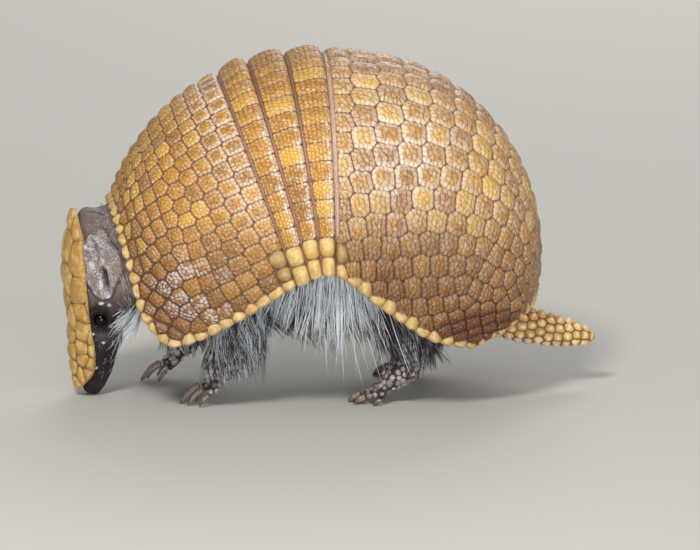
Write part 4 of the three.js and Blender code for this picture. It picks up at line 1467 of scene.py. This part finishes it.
def belly_undercoat():
    """Dark hair behind the white fringe."""
    rng = dice(82)
    count = int(3600 / COARSE)

    def density(x, y, z, normals):
        along = smoothstep(-66, -56, x) * smoothstep(66, 56, x)
        return along * smoothstep(14, 20, np.abs(y)) * smoothstep(22, 30, z) * smoothstep(58, 48, z)

    hang = hanging(rng, count, density, ahead=0.25, out=0.1, lift=0.2, spread=0.14,
                   fall=(0.06, 0, -0.25), sway=0.1)
    hairs("hair_under", *hang, rng.uniform(8, 17, count), rng.uniform(0.2, 0.32, count), barrel(*BODY),
          some_white(rng, count, 0.04), DARK_HAIR, 3, count // 8)


def margin_bristles():
    rng = dice(81)
    count = int(1200 / COARSE)

    def density(x, y, z, normals):
        beside = smoothstep(26, 36, np.abs(y))
        front = bell(x + 48, 26) * beside * smoothstep(26, 32, z)
        rear = 0.35 * bell(x - 40, 20) * beside * smoothstep(24, 30, z)
        return smoothstep(0.35, -0.15, normals[:, 2]) * (front + rear) * smoothstep(62, 48, z)

    hang = hanging(rng, count, density, ahead=0.25, out=0.4, lift=0.35, spread=0.2,
                   fall=(0.05, 0, -0.3), sway=0.12)
    shade = some_white(rng, count, 0.5)
    hairs("hair_margin", *hang, rng.uniform(6, 13, count), rng.uniform(0.18, 0.3, count), barrel(*BODY),
          shade, SILVER_HAIR, locks=count // 7)


def leg_hair():
    for k, (name, (leg_x, leg_y, top)) in enumerate(LEG_COATS.items()):
        rng = dice(90 + k)
        strands, white = (1500, 0.66) if "fore" in name else (900, 0.1)
        count = int(strands / COARSE)

        def density(x, y, z, normals):
            near = smoothstep(24, 18, np.abs(x - leg_x)) * (y * leg_y > 0) * smoothstep(8, 16, np.abs(y))
            return near * smoothstep(9, 15, z) * smoothstep(top + 6, top - 8, z)

        roots, heading, fall = hanging(rng, count, density, ahead=0.3, out=0.1, lift=0.25, spread=0.1,
                                       fall=(0.06, 0, -0.22), sway=0.08)
        lengths = rng.uniform(5, 11.5, count) * smoothstep(4, 26, roots[:, 2]).clip(0.3, 1)
        shade = some_white(rng, count, white)
        hairs(f"hair_{name}", roots, heading, fall, lengths, rng.uniform(0.2, 0.38, count),
              column(leg_x, leg_y), shade, SILVER_HAIR, locks=count // 7)


def cheek_hair():
    rng = dice(100)
    count = int(230 / COARSE)

    def density(x, y, z, normals):
        return patch(x, z, (-80.5, 35), (3.6, 5.5)) * smoothstep(8, 14, np.abs(y))

    hang = hanging(rng, count, density, ahead=-0.78, out=0.1, lift=0.5, spread=0.13,
                   fall=(-0.1, 0, -0.16), sway=0.16)
    shade = some_white(rng, count, 0.85)
    lengths = rng.uniform(8, 17, count) * rng.choice([1, 1.5], count, p=[0.8, 0.2])
    hairs("hair_cheek", *hang, lengths, rng.uniform(0.2, 0.34, count), barrel(*CHEEKS), shade, WHITE_HAIR,
          locks=count // 4, gather=0.6)


def dark_fuzz():
    """Short fine hair on the neck, the crown, the snout and the underside."""
    rng = dice(101)
    count = int(4600 / COARSE)

    def density(x, y, z, normals):
        neck = smoothstep(-92, -88, x) * smoothstep(-66, -72, x) * smoothstep(20, 26, z)
        crown = (x > -102) * (x < -80) * smoothstep(68, 72, z) * 0.6
        snout = smoothstep(-84, -88, x) * smoothstep(6, 10, z) * smoothstep(30, 24, z) * (x > -104)
        belly = smoothstep(-70, -60, x) * smoothstep(75, 60, x) * smoothstep(0.1, -0.4, normals[:, 2])
        return neck + crown + 0.9 * snout + 0.25 * belly * smoothstep(60, 50, z) * smoothstep(24, 28, z)

    roots, normals = roots_on_skin(count, density, rng)
    on_snout = (roots[:, 0] < -88) & (roots[:, 2] < 30)
    on_neck = (roots[:, 0] < -66) & (roots[:, 2] > 36)
    heading = hung(rng, normals, 0.2, 0.12, np.where(on_snout[:, None], (0.35, 0.0, 1.0), (0.35, 0.0, -1.0)))
    lengths = np.where(on_snout, rng.uniform(1.0, 2.2, count), rng.uniform(3.5, 7.5, count))
    shade = np.where(on_neck, some_white(rng, count, 0.5), np.clip(rng.normal(0.3, 0.3, count), 0, 1))
    hairs("hair_dark", roots, heading, rng.normal(0, 0.1, heading.shape), lengths,
          rng.uniform(0.13, 0.2, count), barrel(*HEAD_AND_BODY), shade, SILVER_HAIR, 3, count // 5)


def spaced(places, apart):
    """Which of the places stay a distance from each other, taken in turn."""
    kept = [0]
    for k, place in enumerate(places):
        if np.min(((places[kept] - place) ** 2).sum(axis=1)) > apart**2:
            kept.append(k)
    return kept


def scales(name, places, normals, material, rng):
    """One piece of small domed scales set in the skin."""
    count = len(places)
    radius = rng.uniform(*SCALE_RADII, count)
    first = unit(np.cross(normals, (0.2, 0.3, 0.93)))
    second = np.cross(normals, first)
    turn = np.linspace(0, 2 * math.pi, SCALE_SIDES, endpoint=False)[None, :, None]
    spokes = first[:, None] * np.cos(turn) + second[:, None] * np.sin(turn)
    wobbly = 1 + rng.uniform(-SCALE_WOBBLE, SCALE_WOBBLE, (count, SCALE_SIDES))
    rings = []
    for share, rise in SCALE_RINGS:
        ring = places[:, None] + spokes * (radius[:, None] * share * wobbly)[:, :, None]
        rings.append(ring + normals[:, None] * (rise * SCALE_HEIGHT))
    top = places + normals * SCALE_HEIGHT
    base = places - normals * SCALE_HEIGHT * 0.5
    points = np.concatenate(rings + [top[:, None], base[:, None]], axis=1)
    points[:, :, 2] = np.maximum(points[:, :, 2], 2 * LEAST_ABOVE_FLOOR)
    per = points.shape[1]
    sides = [(i, (i + 1) % SCALE_SIDES) for i in range(SCALE_SIDES)]
    walls = [(SCALE_SIDES * k + i, SCALE_SIDES * k + j, SCALE_SIDES * (k + 1) + j, SCALE_SIDES * (k + 1) + i)
             for k in range(len(SCALE_RINGS) - 1) for i, j in sides]
    caps = [(2 * SCALE_SIDES + i, 2 * SCALE_SIDES + j, per - 2) for i, j in sides]
    caps += [(j, i, per - 1) for i, j in sides]
    shade = np.repeat(rng.uniform(0, 1, count), per)
    add_piece(name, points.reshape(-1, 3), repeated(count, per, walls, caps), {"shade": shade}, None,
              material, "skin")


def leg_scales():
    m = Shader("leg_scales", 0.5)
    m.set("Roughness", 0.36)
    grey = rgb(96, 80, 80)
    tone = m.mix(m.attribute("shade"), grey, rgb(184, 172, 170))
    m.set("Base Color", m.mix(m.ramp(m.noise(1.2), 0.45, 0.7), tone, grey))
    m.bump(m.noise(2.0), 0.15)
    for k, (name, side) in enumerate(SIDES.items()):
        rng = dice(110 + k)

        def density(x, y, z, normals):
            front = smoothstep(0.45, -0.3, normals[:, 0]) + 0.6 * smoothstep(0.0, 0.6, normals[:, 1] * side)
            low = smoothstep(2.5, 4, z) * smoothstep(34, 26, z)
            return (y * side > 8) * (x > -86) * low * np.clip(front, 0, 1)

        places, normals = roots_on_skin(SCALES_TRIED, density, rng)
        kept = spaced(places, SCALES_APART)
        scales(f"scales_{name}", places[kept], normals[kept], m.material, rng)


belly_fringe()
long_strands()
belly_undercoat()
margin_bristles()
leg_hair()
cheek_hair()
dark_fuzz()
leg_scales()
